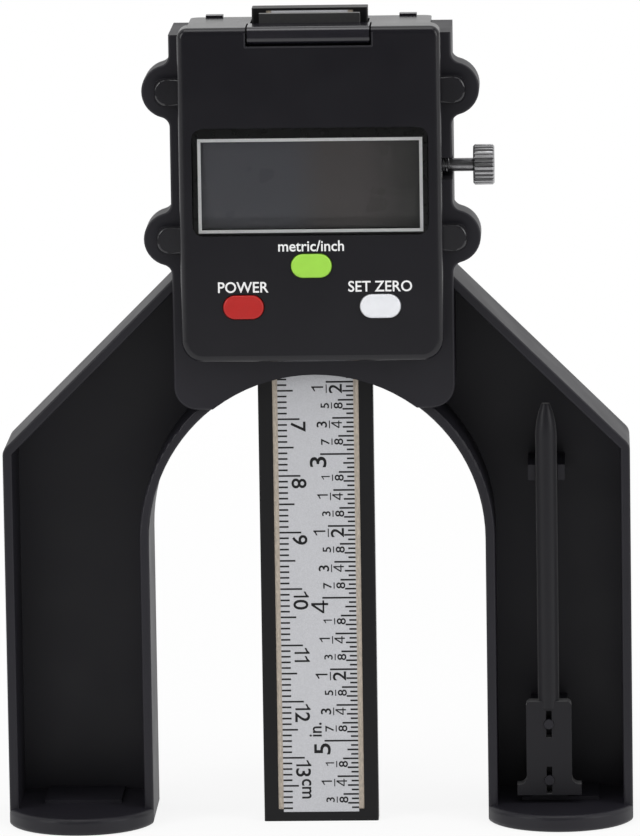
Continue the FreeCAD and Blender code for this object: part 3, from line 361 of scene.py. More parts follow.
def clear_window(name):
    """Clear acrylic."""
    material, shader, tree = new_material(name, (0.97, 0.98, 0.98), 0.03, specular=0.3)
    shader.inputs["Transmission Weight"].default_value = 1.0
    shader.inputs["IOR"].default_value = 1.3
    roughen(tree, shader, object_place(tree), 12 * MM, (0.03, 0.04))
    return material


def display_glass(name, left, right):
    """The face of a display that is off: bluish grey, then brownish grey, and dark at the right end."""
    bluish = (0.118, 0.117, 0.130)
    brownish = (0.120, 0.108, 0.107)
    dark = (0.055, 0.055, 0.053)
    material, shader, tree = new_material(name, bluish, 0.28, specular=0.2)
    place = object_place(tree)
    across = ramp(tree, axis_of(tree, place, "X"), 0.0, 1.0, left, right)
    tint(
        tree, shader, across,
        [(0.0, bluish), (0.42, bluish), (0.56, brownish), (0.72, brownish), (1.0, dark)],
    )
    roughen(tree, shader, place, 8 * MM, (0.27, 0.29))
    return material


def circuit_board(name):
    """Green solder mask, paler over the tracks."""
    mask = (0.008, 0.085, 0.030)
    track = (0.020, 0.150, 0.055)
    material, shader, tree = new_material(name, mask, 0.35)
    lines = tree.nodes.new("ShaderNodeTexBrick")
    lines.inputs["Scale"].default_value = 1 / (6 * MM)
    lines.inputs["Color1"].default_value = (*mask, 1.0)
    lines.inputs["Color2"].default_value = (*shaded(mask, 0.8), 1.0)
    lines.inputs["Mortar"].default_value = (*track, 1.0)
    lines.inputs["Mortar Size"].default_value = 0.03
    upright = object_place(tree, turn=(math.radians(90), 0.0, 0.0))
    tree.links.new(upright, lines.inputs["Vector"])
    tree.links.new(lines.outputs["Color"], shader.inputs["Base Color"])
    roughen(tree, shader, object_place(tree), 3 * MM, (0.28, 0.42))
    grain(tree, shader, lines.outputs["Fac"], 0.3, 0.02 * MM)
    return material


def satin_plate(name, colour):
    """Bead-blasted metal of the scale plate."""
    material, shader, tree = new_material(name, colour, 0.42, metallic=0.25)
    place = object_place(tree)
    speckle = noise(tree, place, 0.16 * MM, 2.0, 0.7)
    tint(tree, shader, speckle, [(0.32, shaded(colour, 0.88)), (0.68, shaded(colour, 1.05))])
    roughen(tree, shader, place, 4 * MM, (0.38, 0.5))
    grain(tree, shader, speckle, 0.3, 0.012 * MM)
    return material


def woven_laminate(name, colour):
    """The resin and glass cloth of a laminate's surface and cut edge."""
    material, shader, tree = new_material(name, colour, 0.5)
    cloth = noise(tree, object_place(tree, (1.0, 1.0, 0.35)), 0.3 * MM, 3.0, 0.6)
    tint(tree, shader, cloth, [(0.3, shaded(colour, 0.72)), (0.7, shaded(colour, 1.12))])
    roughen(tree, shader, object_place(tree), 2 * MM, (0.42, 0.6))
    grain(tree, shader, cloth, 0.35, 0.02 * MM)
    return material


def pressed_felt(name, colour):
    """Pressed wool felt."""
    material, shader, tree = new_material(name, colour, 0.95, specular=0.1)
    shader.inputs["Sheen Weight"].default_value = 0.4
    shader.inputs["Sheen Roughness"].default_value = 0.6
    fibres = noise(tree, object_place(tree, (1.0, 1.0, 0.4)), 0.22 * MM, 5.0, 0.8)
    tint(tree, shader, fibres, [(0.3, shaded(colour, 0.6)), (0.7, shaded(colour, 1.4))])
    grain(tree, shader, fibres, 0.8, 0.08 * MM)
    return material


def rubber_strip(name):
    """Silicone strip with fine carbon layers, which joins the display to the board."""
    silicone = (0.16, 0.16, 0.17)
    carbon = (0.01, 0.01, 0.01)
    material, shader, tree = new_material(name, silicone, 0.6, specular=0.3)
    layers = noise(tree, object_place(tree, (1.0, 0.0, 0.0)), 0.12 * MM, 1.0)
    tint(tree, shader, layers, [(0.48, carbon), (0.52, silicone)])
    grain(tree, shader, layers, 0.2, 0.01 * MM)
    return material


def printed_ink(name, colour, roughness):
    """Screen-printed ink, a little uneven."""
    spread = 0.06
    material, shader, tree = new_material(name, colour, roughness, specular=0.3)
    place = object_place(tree)
    cover = noise(tree, place, 0.1 * MM)
    tint(tree, shader, cover, [(0.3, shaded(colour, 0.9)), (0.7, colour)])
    roughen(tree, shader, place, 1 * MM, (roughness - spread, roughness + spread))
    return material


def give(node_names, material):
    """Puts a material on CAD nodes."""
    for name in node_names:
        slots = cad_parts[name].material_slots
        if not slots:
            raise RuntimeError(f"{name} has no material slot")
        for slot in slots:
            slot.material = material


# Pieces

def mesh_piece(name, shape, material, body):
    """A finished piece from a bmesh: closed, turned outwards, and riding on its body."""
    bmesh.ops.remove_doubles(shape, verts=shape.verts, dist=1e-7)
    bmesh.ops.recalc_face_normals(shape, faces=shape.faces)
    mesh = bpy.data.meshes.new(name)
    shape.to_mesh(mesh)
    shape.free()
    if not mesh.polygons:
        raise RuntimeError(f"{name} came out empty")
    piece = bpy.data.objects.new(name, mesh)
    bpy.context.scene.collection.objects.link(piece)
    mesh.materials.append(material)
    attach(piece, body)
    return piece


def add_slab(shape, left, right, front, back, low, high):
    """A box between six planes. front is the lower Y."""
    middle = Vector(((left + right) / 2, (front + back) / 2, (low + high) / 2))
    size = Matrix.Diagonal((right - left, back - front, high - low, 1.0))
    bmesh.ops.create_cube(shape, size=1.0, matrix=Matrix.Translation(middle) @ size)


def words_shape(words, capital, thick, narrow):
    """Solid letters that stand on the X axis from X = 0, with their back at Y = 0 and facing -Y."""
    curve = bpy.data.curves.new("lettering", "FONT")
    curve.body = words
    curve.resolution_u = 4
    curve.extrude = 0.5
    curve.offset = FIGURE_BOLD
    curve.size = 1.0
    holder = bpy.data.objects.new("lettering", curve)
    bpy.context.scene.collection.objects.link(holder)
    bpy.context.view_layer.update()
    drawn = holder.evaluated_get(bpy.context.evaluated_depsgraph_get())
    mesh = bpy.data.meshes.new_from_object(drawn)
    bpy.data.objects.remove(holder)
    shape = bmesh.new()
    shape.from_mesh(mesh)
    bpy.data.meshes.remove(mesh)
    bpy.data.curves.remove(curve)
    size = capital / FIGURE_HEIGHT
    left = min(v.co.x for v in shape.verts)
    bmesh.ops.translate(shape, verts=shape.verts, vec=(-left, 0.0, 0.5))
    bmesh.ops.scale(shape, verts=shape.verts, vec=(size * narrow, size, thick))
    upright = Matrix.Rotation(math.radians(90), 4, "X")
    bmesh.ops.transform(shape, matrix=upright, verts=shape.verts)
    return shape


def width_of(shape):
    """How wide a shape is along X."""
    return max(v.co.x for v in shape.verts) - min(v.co.x for v in shape.verts)


def merge(shape, part):
    """Moves all of part into shape."""
    mesh = bpy.data.meshes.new("part")
    part.to_mesh(mesh)
    part.free()
    shape.from_mesh(mesh)
    bpy.data.meshes.remove(mesh)


def stroked_figure(strokes, capital, thick, narrow):
    """A figure from its strokes, placed as words_shape places its letters."""
    shape = bmesh.new()
    for stroke in strokes:
        corners = [shape.verts.new((x * capital * narrow, 0.0, up * capital)) for x, up in stroke]
        face = shape.faces.new(corners)
        swept = bmesh.ops.extrude_face_region(shape, geom=[face])["geom"]
        front = [item for item in swept if isinstance(item, bmesh.types.BMVert)]
        bmesh.ops.translate(shape, verts=front, vec=(0.0, -thick, 0.0))
    return shape


def figures_shape(figures, capital, thick, narrow):
    """Figures side by side."""
    shape = bmesh.new()
    gap = 0.14 * capital * narrow
    across = 0.0
    for figure in figures:
        if figure in DRAWN_FIGURES:
            part = stroked_figure(DRAWN_FIGURES[figure], capital, thick, narrow)
        else:
            part = words_shape(figure, capital, thick, narrow)
        wide = width_of(part)
        bmesh.ops.translate(part, verts=part.verts, vec=(across, 0.0, 0.0))
        merge(shape, part)
        across += wide + gap
    return shape


def place_words(shape, words, capital, thick, place, turn=0.0, align=0.0, narrow=0.9):
    """Adds letters or figures to shape, turned to the left by turn in degrees.

    place is where their baseline starts, middles or ends, as align is 0, 0.5 or 1.
    """
    if words.isdigit():
        letters = figures_shape(words, capital, thick, narrow)
    else:
        letters = words_shape(words, capital, thick, narrow)
    bmesh.ops.translate(letters, verts=letters.verts, vec=(-align * width_of(letters), 0.0, 0.0))
    turned = Matrix.Translation(Vector(place)) @ Matrix.Rotation(math.radians(-turn), 4, "Y")
    bmesh.ops.transform(letters, matrix=turned, verts=letters.verts)
    merge(shape, letters)


# The stage

class GAUGE_OT_stage(bpy.types.Operator):
    """Put up the camera, the soft lights, the pale surround and the floor"""

    bl_idname = "gauge.stage"
    bl_label = "Stage"

    def execute(self, context):
        settings = context.scene.gauge_stage
        make_camera(context.scene, settings)
        make_lights(context.scene)
        make_surround(context.scene)
        if settings.show_floor:
            make_floor(context.scene)
        return {"FINISHED"}


def make_camera(scene, settings):
    """The camera looks at the gauge's middle from the front, a little from the right and from above."""
    turn, rise = settings.azimuth, settings.elevation
    level = math.cos(rise)
    back = Vector((math.sin(turn) * level, -math.cos(turn) * level, math.sin(rise)))
    right = Vector((0, 0, 1)).cross(back).normalized()
    up = back.cross(right)
    lean = Matrix.Rotation(-settings.roll, 3, back)
    right, up = lean @ right, lean @ up
    place = Vector((settings.aim_across, 0.0, settings.aim_up)) + back * settings.distance
    camera = bpy.data.objects.new("camera", bpy.data.cameras.new("camera"))
    camera.data.sensor_width = 36.0
    camera.data.lens = settings.focal_length
    camera.data.clip_start = 0.05
    camera.data.clip_end = 20.0
    camera.matrix_world = Matrix(
        (
            (right.x, up.x, back.x, place.x),
            (right.y, up.y, back.y, place.y),
            (right.z, up.z, back.z, place.z),
            (0.0, 0.0, 0.0, 1.0),
        )
    )
    scene.collection.objects.link(camera)
    scene.camera = camera


def add_light(scene, name, place, aim, width, height, power):
    """A soft box at place, which shines towards aim."""
    light = bpy.data.lights.new(name, "AREA")
    light.shape = "RECTANGLE"
    light.size = width
    light.size_y = height
    light.energy = power
    lamp = bpy.data.objects.new(name, light)
    lamp.location = place
    lamp.rotation_euler = (Vector(aim) - Vector(place)).to_track_quat("-Z", "Y").to_euler()
    scene.collection.objects.link(lamp)


def make_lights(scene):
    """Two tall soft boxes at the sides, and a wide one overhead."""
    aim = (0.0, 0.0, 0.07)
    add_light(scene, "left_box", (-0.75, -0.55, 0.45), aim, width=0.35, height=0.7, power=2.6)
    add_light(scene, "right_box", (0.8, -0.45, 0.4), aim, width=0.35, height=0.7, power=2.6)
    add_light(scene, "top_box", (0.0, -0.15, 0.95), aim, width=0.8, height=0.5, power=2.8)


def combine(tree, operation, first, second, clamp=False):
    """Two values put together by a Math node."""
    node = tree.nodes.new("ShaderNodeMath")
    node.operation = operation
    node.use_clamp = clamp
    tree.links.new(first, node.inputs[0])
    tree.links.new(second, node.inputs[1])
    return node.outputs[0]


def mix_shaders(tree, share, first, second):
    """The first shader where share is 0, and the second where it is 1."""
    mix = tree.nodes.new("ShaderNodeMixShader")
    tree.links.new(share, mix.inputs["Fac"])
    tree.links.new(first, mix.inputs[1])
    tree.links.new(second, mix.inputs[2])
    return mix.outputs[0]


def make_surround(scene):
    """Soft grey light all round, and white where the lens or a glossy surface sees behind the gauge."""
    world = bpy.data.worlds.new("surround")
    world.use_nodes = True
    scene.world = world
    tree = world.node_tree
    tree.nodes.clear()
    path = tree.nodes.new("ShaderNodeLightPath").outputs
    place = tree.nodes.new("ShaderNodeTexCoord").outputs["Generated"]
    behind = ramp(tree, axis_of(tree, place, "Y"), 0.15, 1.0, from_low=-0.35, from_high=0.25)
    strength = combine(tree, "MAXIMUM", path["Is Camera Ray"], behind, clamp=True)
    shiny = combine(tree, "ADD", path["Is Glossy Ray"], path["Is Transmission Ray"], clamp=True)
    seen = combine(tree, "MAXIMUM", shiny, path["Is Camera Ray"])
    white = tree.nodes.new("ShaderNodeBackground")
    tree.links.new(strength, white.inputs["Strength"])
    soft = tree.nodes.new("ShaderNodeBackground")
    soft.inputs["Strength"].default_value = 0.85
    surface = mix_shaders(tree, seen, soft.outputs[0], white.outputs[0])
    output = tree.nodes.new("ShaderNodeOutputWorld")
    tree.links.new(surface, output.inputs["Surface"])


def make_floor(scene):
    """A pale round floor that keeps the gauge's shadow and fades into the white surround."""
    radius = 3.0
    shape = bmesh.new()
    bmesh.ops.create_circle(shape, cap_ends=True, segments=96, radius=radius)
    mesh = bpy.data.meshes.new("floor")
    shape.to_mesh(mesh)
    shape.free()
    floor = bpy.data.objects.new("floor", mesh)
    scene.collection.objects.link(floor)
    material, shader, tree = new_material("pale_floor", (0.86, 0.86, 0.86), 0.9, specular=0.0)
    place = object_place(tree)
    away = tree.nodes.new("ShaderNodeVectorMath")
    away.operation = "LENGTH"
    tree.links.new(place, away.inputs[0])
    fade = ramp(tree, away.outputs["Value"], 0.86, 1.0, from_low=0.1, from_high=0.45)
    path = tree.nodes.new("ShaderNodeLightPath").outputs
    seen = combine(tree, "ADD", path["Is Camera Ray"], path["Is Glossy Ray"], clamp=True)
    clear = combine(tree, "ADD", seen, path["Is Transmission Ray"], clamp=True)
    share = combine(tree, "MULTIPLY", clear, fade)
    front = ramp(tree, axis_of(tree, place, "Y"), 0.06, 0.9, from_low=-0.95, from_high=-0.25)
    bright = combine(tree, "MAXIMUM", path["Is Camera Ray"], front)
    white = tree.nodes.new("ShaderNodeEmission")
    tree.links.new(bright, white.inputs["Strength"])
    surface = mix_shaders(tree, share, shader.outputs["BSDF"], white.outputs["Emission"])
    tree.links.new(surface, tree.nodes["Material Output"].inputs["Surface"])
    mesh.materials.append(material)


# The steps that dress the gauge

class GAUGE_OT_mouldings(bpy.types.Operator):
    """Finish the black mouldings: stand, cover, battery tray, blade and stored pin"""

    bl_idname = "gauge.mouldings"
    bl_label = "Mouldings"

    def execute(self, context):
        paint = context.scene.gauge_colours
        stand = moulded_plastic(
            "stand_moulding", shaded(paint.moulding, 1.6), rough=(0.44, 0.52), grain_size=0.22 * MM,
            relief=0.3, dust=1.4, shine=0.36,
        )
        cover = moulded_plastic(
            "cover_moulding", paint.moulding, rough=(0.22, 0.27), grain_size=0.16 * MM,
            relief=0.12, dust=1.15, bloom=0.02,
        )
        tray = moulded_plastic(
            "tray_moulding", shaded(paint.moulding, 1.5), rough=(0.16, 0.22), grain_size=0.16 * MM,
            relief=0.12, dust=1.15, shine=0.75,
        )
        blade = moulded_plastic(
            "blade_moulding", paint.blade, rough=(0.36, 0.44), grain_size=0.20 * MM,
            relief=0.2, dust=1.2, shine=0.24,
        )
        pin = moulded_plastic(
            "pin_moulding", paint.moulding, rough=(0.42, 0.5), grain_size=0.20 * MM,
            relief=0.3, dust=1.2, shine=0.3, bloom=0.15,
        )
        give(["stand_frame"], stand)
        give(["front_cover"], cover)
        give(["battery_tray"], tray)
        give(["blade_beam"], blade)
        give(["measuring_pin"], pin)
        return {"FINISHED"}


class GAUGE_OT_metal_parts(bpy.types.Operator):
    """Finish the metal pieces: screws, spring, magnets, contacts, cell, nut, pad and lock knob"""

    bl_idname = "gauge.metal_parts"
    bl_label = "Metal pieces"

    def execute(self, context):
        steel = turned_metal("plated_steel_finish", (0.50, 0.50, 0.51), rough=(0.24, 0.36))
        magnet = turned_metal("nickel_finish", (0.62, 0.61, 0.58), rough=(0.18, 0.30))
        brass = turned_metal("brass_finish", (0.72, 0.52, 0.22), rough=(0.24, 0.36))
        cell = turned_metal("cell_finish", (0.66, 0.66, 0.66), rough=(0.16, 0.26))
        shank = turned_metal(
            "lock_screw_finish", (0.36, 0.36, 0.37), rough=(0.28, 0.40), stretch=(4.0, 0.4, 0.4)
        )
        knob = turned_metal(
            "lock_knob_finish", (0.50, 0.50, 0.51), rough=(0.26, 0.40), stretch=(0.35, 1.5, 1.5),
            relief=0.4,
        )
        give(["case_screws", "board_screws", "gib_spring", "key_domes"], steel)
        give(["foot_magnets"], magnet)
        give(["battery_contacts", "lock_nut", "lock_pad"], brass)
        give(["coin_cell"], cell)
        give(["lock_screw"], shank)
        give(["lock_knob"], knob)
        return {"FINISHED"}


class GAUGE_OT_electronics(bpy.types.Operator):
    """Finish the boards, the display, its rubber strip, its window and the felt that wipes the blade"""

    bl_idname = "gauge.electronics"
    bl_label = "Display and boards"

    def execute(self, context):
        low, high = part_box("lcd_panel")
        give(["main_board", "sensor_board"], circuit_board("solder_mask"))
        give(["lcd_connector"], rubber_strip("rubber_strip"))
        give(["lcd_panel"], display_glass("display_face", low.x, high.x))
        give(["display_window"], clear_window("clear_acrylic"))
        give(["wiper_felt"], pressed_felt("black_felt", (0.012, 0.012, 0.013)))
        return {"FINISHED"}


class GAUGE_OT_keys(bpy.types.Operator):
    """Finish the three buttons"""

    bl_idname = "gauge.keys"
    bl_label = "Buttons"

    def execute(self, context):
        paint = context.scene.gauge_colours
        give(["power_button"], key_plastic("power_key_finish", paint.power_key))
        give(["units_button"], key_plastic("units_key_finish", paint.units_key))
        give(["zero_button"], key_plastic("zero_key_finish", paint.zero_key))
        return {"FINISHED"}


class GAUGE_OT_scale(bpy.types.Operator):
    """Finish the scale and print its centimetre and inch graduations"""

    bl_idname = "gauge.scale"
    bl_label = "Scale"

    def execute(self, context):
        paint = context.scene.gauge_colours
        sizes = context.scene.gauge_print
        give(["scale_board"], woven_laminate("laminate_finish", paint.laminate))
        give(["scale_plate"], satin_plate("satin_plate_finish", paint.scale_plate))
        low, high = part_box("scale_plate")
        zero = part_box("blade_beam")[1].z - sizes.zero_below_top
        shape = bmesh.new()
        metric_marks(shape, sizes, low, high, zero)
        inch_marks(shape, sizes, low, high, zero)
        ink = printed_ink("scale_ink", (0.006, 0.006, 0.007), 0.5)
        mesh_piece("scale_print", shape, ink, "blade")
        return {"FINISHED"}


def add_line(shape, sizes, front, left, right, up):
    """A graduation line at the height up."""
    half = sizes.line_width / 2
    add_slab(shape, left, right, front - sizes.ink_thick, front, up - half, up + half)


def metric_marks(shape, sizes, low, high, zero):
    """Millimetre lines from the left edge of the plate, and centimetre figures that read downwards."""
    lengths = {10: 3.8 * MM, 5: 2.7 * MM, 1: 1.6 * MM}
    margin = 0.4 * MM
    figure_left = low.x + 2.3 * MM
    figure_room = 3 * MM
    for count in range(1 + int((zero - low.z - margin) / MM)):
        up = zero - count * MM
        if up > high.z - margin:
            continue
        length = next(reach for step, reach in lengths.items() if count % step == 0)
        add_line(shape, sizes, low.y, low.x, low.x + length, up)
        whole, rest = divmod(count, 10)
        if rest == 0 and whole and up - low.z > figure_room:
            place = (figure_left, low.y, up - sizes.number_gap)
            place_words(
                shape, str(whole), sizes.metric_figure, sizes.ink_thick, place,
                turn=-90, narrow=1.05,
            )
    last = int((zero - low.z) / (10 * MM))
    unit_across, unit_drop, unit_share = 1.0 * MM, 3.8 * MM, 0.94
    place = (figure_left + unit_across, low.y, zero - last * 10 * MM - unit_drop)
    place_words(shape, "cm", sizes.metric_figure * unit_share, sizes.ink_thick, place, turn=-90)


def inch_marks(shape, sizes, low, high, zero):
    """Lines at each 32nd of an inch from the plate's right edge, and numbers that read upwards."""
    steps = 32
    lengths = {32: 5.9 * MM, 16: 4.75 * MM, 8: 3.7 * MM, 4: 2.7 * MM, 2: 1.9 * MM, 1: 1.25 * MM}
    margin = 0.3 * MM
    whole_base = high.x - 4.9 * MM
    for count in range(1 + int((zero - low.z - margin) / (INCH / steps))):
        up = zero - count * INCH / steps
        if up > high.z - margin:
            continue
        length = next(reach for step, reach in lengths.items() if count % step == 0)
        add_line(shape, sizes, low.y, high.x - length, high.x, up)
        whole, rest = divmod(count, steps)
        top = up - sizes.number_gap
        if rest == 0 and whole:
            place = (whole_base, low.y, top)
            place_words(
                shape, str(whole), sizes.inch_figure, sizes.ink_thick, place,
                turn=90, align=1.0, narrow=1.2,
            )
        elif rest and rest % 4 == 0:
            common = math.gcd(rest, steps)
            add_fraction(shape, sizes, low.y, high.x, top, rest // common, steps // common)
    last = int((zero - low.z) / INCH)
    unit_across, unit_rise, unit_share = 1.5 * MM, 0.75 * MM, 0.8
    place = (whole_base - unit_across, low.y, zero - last * INCH + unit_rise)
    place_words(shape, "in.", sizes.inch_figure * unit_share, sizes.ink_thick, place, turn=90)


def add_fraction(shape, sizes, front, right, top, over, under):
    """A fraction that reads upwards: over, a bar and under, from left to right across the plate."""
    # Height of under, its base from the plate's edge, the gap, the height of over, the bar's length
    forms = {
        2: (2.35 * MM, 2.0 * MM, 0.42 * MM, 2.1 * MM, 1.5 * MM),
        4: (1.85 * MM, 2.05 * MM, 0.38 * MM, 1.85 * MM, 1.35 * MM),
        8: (1.6 * MM, 1.9 * MM, 0.38 * MM, 1.5 * MM, 1.1 * MM),
    }
    under_height, under_base, gap, over_height, bar_length = forms[under]
    bar_width = 0.17 * MM
    near_gap = gap * 0.6
    middle = top - bar_length / 2
    base = right - under_base
    bar_right = base - under_height - near_gap
    bar_left = bar_right - bar_width
    add_slab(
        shape, bar_left, bar_right, front - sizes.ink_thick, front,
        middle - bar_length / 2, middle + bar_length / 2,
    )
    for figure, height, across in ((under, under_height, base), (over, over_height, bar_left - gap)):
        place_words(
            shape, str(figure), height, sizes.ink_thick, (across, front, middle),
            turn=90, align=0.5, narrow=1.1,
        )


class GAUGE_OT_window_print(bpy.types.Operator):
    """Print the black border and the white line round the display, inside the window's back"""

    bl_idname = "gauge.window_print"
    bl_label = "Window print"

    def execute(self, context):
        sizes = context.scene.gauge_print
        low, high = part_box("display_window")
        side, bottom, top = 0.95 * MM, 0.4 * MM, 1.75 * MM
        rim, inside = 0.12 * MM, 0.01 * MM
        width = sizes.window_line
        outer = (low.x + rim, high.x - rim, low.z + rim, high.z - rim)
        line = (low.x + side, high.x - side, low.z + bottom, high.z - top)
        inner = (line[0] + width, line[1] - width, line[2] + width, line[3] - width)
        back = high.y - inside
        black = printed_ink("border_ink", (0.004, 0.004, 0.004), 0.3)
        white = printed_ink("line_ink", (0.94, 0.94, 0.94), 0.4)
        border = frame_shape(outer, line, back - sizes.ink_thick, back)
        mesh_piece("window_border", border, black, "stand")
        edge = frame_shape(line, inner, back - sizes.ink_thick, back)
        mesh_piece("window_line", edge, white, "stand")
        return {"FINISHED"}


def frame_shape(outer, inner, front, back):
    """A flat rectangular ring. outer and inner are left, right, low and high."""
    shape = bmesh.new()
    add_slab(shape, outer[0], inner[0], front, back, outer[2], outer[3])
    add_slab(shape, inner[1], outer[1], front, back, outer[2], outer[3])
    add_slab(shape, inner[0], inner[1], front, back, outer[2], inner[2])
    add_slab(shape, inner[0], inner[1], front, back, inner[3], outer[3])
    return shape


class GAUGE_OT_legends(bpy.types.Operator):
    """Print a plain legend above each button"""

    bl_idname = "gauge.legends"
    bl_label = "Legends"

    def execute(self, context):
        sizes = context.scene.gauge_print
        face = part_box("front_cover")[0].y
        gap = 0.5 * MM
        legends = {"power_button": "POWER", "units_button": "metric/inch", "zero_button": "SET ZERO"}
        shape = bmesh.new()
        for node, words in legends.items():
            low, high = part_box(node)
            place = ((low.x + high.x) / 2, face, button_top(node) + gap)
            place_words(
                shape, words, sizes.legend_height, sizes.ink_thick, place, align=0.5, narrow=0.96
            )
        white = printed_ink("legend_ink", (0.82, 0.82, 0.82), 0.45)
        mesh_piece("button_legends", shape, white, "stand")
        return {"FINISHED"}


def button_top(node):
    """The top of a button's cap, where it comes through the cover's face."""
    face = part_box("front_cover")[0].y
    proud = [v.co.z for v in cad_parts[node].data.vertices if v.co.y < face]
    return max(proud)


class GAUGE_OT_tab_faces(bpy.types.Operator):
    """Raise a rounded face on each of the cover's four tabs"""

    bl_idname = "gauge.tab_faces"
    bl_label = "Tab faces"

    def execute(self, context):
        side_depth, proud_least, sunk = 3 * MM, 0.5 * MM, 0.3 * MM
        cover = [v.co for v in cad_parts["front_cover"].data.vertices]
        front = min(point.y for point in cover)
        root = max(point.x for point in cover if point.y < front + side_depth)
        proud = [point for point in cover if point.x > root + proud_least]
        middle = (min(point.z for point in proud) + max(point.z for point in proud)) / 2
        upper = [point for point in proud if point.z > middle]
        lower = [point for point in proud if point.z < middle]
        shape = bmesh.new()
        for tab in (upper, lower):
            face = min(point.y for point in tab)
            low = min(point.z for point in tab)
            high = max(point.z for point in tab)
            tip = max(point.x for point in tab)
            for side in (-1, 1):
                add_tongue(shape, side * (root - sunk), side * tip, low, high, face)
        black = shaded(context.scene.gauge_colours.moulding, 1.1)
        plastic = moulded_plastic(
            "tab_moulding", black, rough=(0.2, 0.26), grain_size=0.2 * MM,
            relief=0.15, dust=1.2, shine=0.7,
        )
        mesh_piece("tab_faces", shape, plastic, "stand")
        return {"FINISHED"}


def add_tongue(shape, root, tip, low, high, face):
    """A flat tongue on a tab's face, from root to tip, with a round tip and a rounded front edge."""
    inset, rise, sunk, corner, rounding = 0.12 * MM, 0.4 * MM, 0.1 * MM, 1.9 * MM, 0.36 * MM
    corner_steps = 8
    side = 1 if tip > root else -1
    far = tip - side * (inset + corner)
    bottom, top = low + inset, high - inset
    outline = [(root, bottom)]
    for centre, first in ((bottom + corner, -90), (top - corner, 0)):
        for step in range(corner_steps + 1):
            angle = math.radians(first + step * 90 / corner_steps)
            outline.append((far + side * corner * math.cos(angle), centre + corner * math.sin(angle)))
    outline.append((root, top))
    back_ring = [shape.verts.new((x, face + sunk, up)) for x, up in outline]
    front_ring = [shape.verts.new((x, face - rise, up)) for x, up in outline]
    shape.faces.new(back_ring)
    cap = shape.faces.new(front_ring)
    for place, back_corner in enumerate(back_ring):
        ahead = (place + 1) % len(outline)
        shape.faces.new((back_corner, back_ring[ahead], front_ring[ahead], front_ring[place]))
    bmesh.ops.bevel(
        shape, geom=list(cap.edges), offset=rounding, segments=4, profile=0.5, affect="EDGES",
        material=-1,
    )


class GAUGE_OT_notch_bead(bpy.types.Operator):
    """Lay a thin raised bead round the notch that the battery tray's grip fills"""

    bl_idname = "gauge.notch_bead"
    bl_label = "Notch bead"

    def execute(self, context):
        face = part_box("front_cover")[0].y
        gap, radius, sunk, corner, grip_depth = 0.3 * MM, 0.16 * MM, 0.064 * MM, 1.3 * MM, 1.0 * MM
        tray = [v.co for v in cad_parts["battery_tray"].data.vertices]
        grip = [point for point in tray if point.y < face + grip_depth]
        half = max(point.x for point in grip) + gap + radius
        low = min(point.z for point in grip) - gap - radius
        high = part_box("front_cover")[1].z - corner
        depth = face + sunk
        shape = bmesh.new()
        add_rod(shape, Vector((-half, depth, low)), Vector((half, depth, low)), radius)
        for across in (-half, half):
            add_rod(shape, Vector((across, depth, low)), Vector((across, depth, high)), radius)
        black = shaded(context.scene.gauge_colours.moulding, 1.6)
        plastic = moulded_plastic(
            "bead_moulding", black, rough=(0.3, 0.38), grain_size=0.16 * MM, relief=0.1, dust=1.2
        )
        mesh_piece("notch_bead", shape, plastic, "stand")
        return {"FINISHED"}


def add_rod(shape, start, end, radius):
    """A round rod from start to end."""
    along = end - start
    place = Matrix.Translation((start + end) / 2) @ along.to_track_quat("Z", "Y").to_matrix().to_4x4()
    bmesh.ops.create_cone(
        shape, cap_ends=True, segments=16, radius1=radius, radius2=radius, depth=along.length,
        matrix=place,
    )


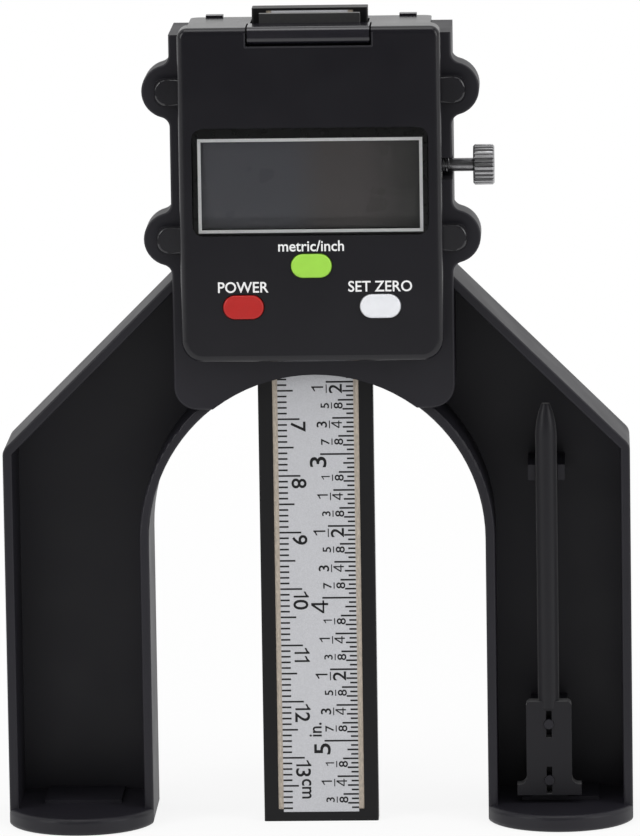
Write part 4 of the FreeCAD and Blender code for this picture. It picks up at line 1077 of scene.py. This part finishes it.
class GAUGE_OT_lock_thread(bpy.types.Operator):
    """Lay the thread round the lock screw, where it enters the stand"""

    bl_idname = "gauge.lock_thread"
    bl_label = "Lock thread"

    def execute(self, context):
        low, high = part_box("lock_screw")
        axis = Vector((0.0, (low.y + high.y) / 2, (low.z + high.z) / 2))
        radius = (high.z - low.z) / 2
        pitch, height, sunk = 0.45 * MM, 0.12 * MM, 0.05 * MM
        foot, crest = pitch * 0.4, pitch * 0.08
        inside_cover, length = 3.1 * MM, 6 * MM
        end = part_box("front_cover")[1].x - inside_cover
        start = end - length
        turns = (end - start) / pitch
        steps = 24
        shape = bmesh.new()
        valley, ridge = radius - sunk, radius + height
        profile = ((-foot, valley), (-crest, ridge), (crest, ridge), (foot, valley))
        ring = [shape.verts.new((start + along, axis.y, axis.z + up)) for along, up in profile]
        face = shape.faces.new(ring)
        bmesh.ops.spin(
            shape,
            geom=[face, *face.edges, *face.verts],
            cent=axis,
            axis=(1.0, 0.0, 0.0),
            dvec=(pitch / steps, 0.0, 0.0),
            angle=2 * math.pi * turns,
            steps=int(steps * turns),
        )
        metal = turned_metal("thread_finish", (0.46, 0.46, 0.47), rough=(0.22, 0.34))
        mesh_piece("lock_thread", shape, metal, "lock_handle")
        return {"FINISHED"}


class GAUGE_PT_panel(bpy.types.Panel):
    """The steps that dress the gauge."""

    bl_idname = "GAUGE_PT_panel"
    bl_label = "Height gauge"
    bl_space_type = "VIEW_3D"
    bl_region_type = "UI"
    bl_category = "Gauge"

    def draw(self, context):
        for step in OPERATORS:
            self.layout.operator(step.bl_idname)
        for group in GROUPS:
            settings = getattr(context.scene, group)
            box = self.layout.box()
            for name in settings.__annotations__:
                box.prop(settings, name)


OPERATORS = (
    GAUGE_OT_stage,
    GAUGE_OT_mouldings,
    GAUGE_OT_metal_parts,
    GAUGE_OT_electronics,
    GAUGE_OT_keys,
    GAUGE_OT_scale,
    GAUGE_OT_window_print,
    GAUGE_OT_legends,
    GAUGE_OT_tab_faces,
    GAUGE_OT_notch_bead,
    GAUGE_OT_lock_thread,
)
GROUPS = {"gauge_print": PrintSizes, "gauge_colours": FinishColours, "gauge_stage": StageSettings}


def register():
    for name, group in GROUPS.items():
        bpy.utils.register_class(group)
        setattr(bpy.types.Scene, name, PointerProperty(type=group))
    for step in OPERATORS:
        bpy.utils.register_class(step)
    bpy.utils.register_class(GAUGE_PT_panel)


def unregister():
    bpy.utils.unregister_class(GAUGE_PT_panel)
    for step in reversed(OPERATORS):
        bpy.utils.unregister_class(step)
    for name, group in GROUPS.items():
        delattr(bpy.types.Scene, name)
        bpy.utils.unregister_class(group)


def main():
    register()
    for step in OPERATORS:
        name = step.bl_idname.removeprefix("gauge.")
        getattr(bpy.ops.gauge, name)()
    scene = bpy.context.scene
    scene.view_settings.view_transform = "Standard"


if __name__ == "__main__":
    main()
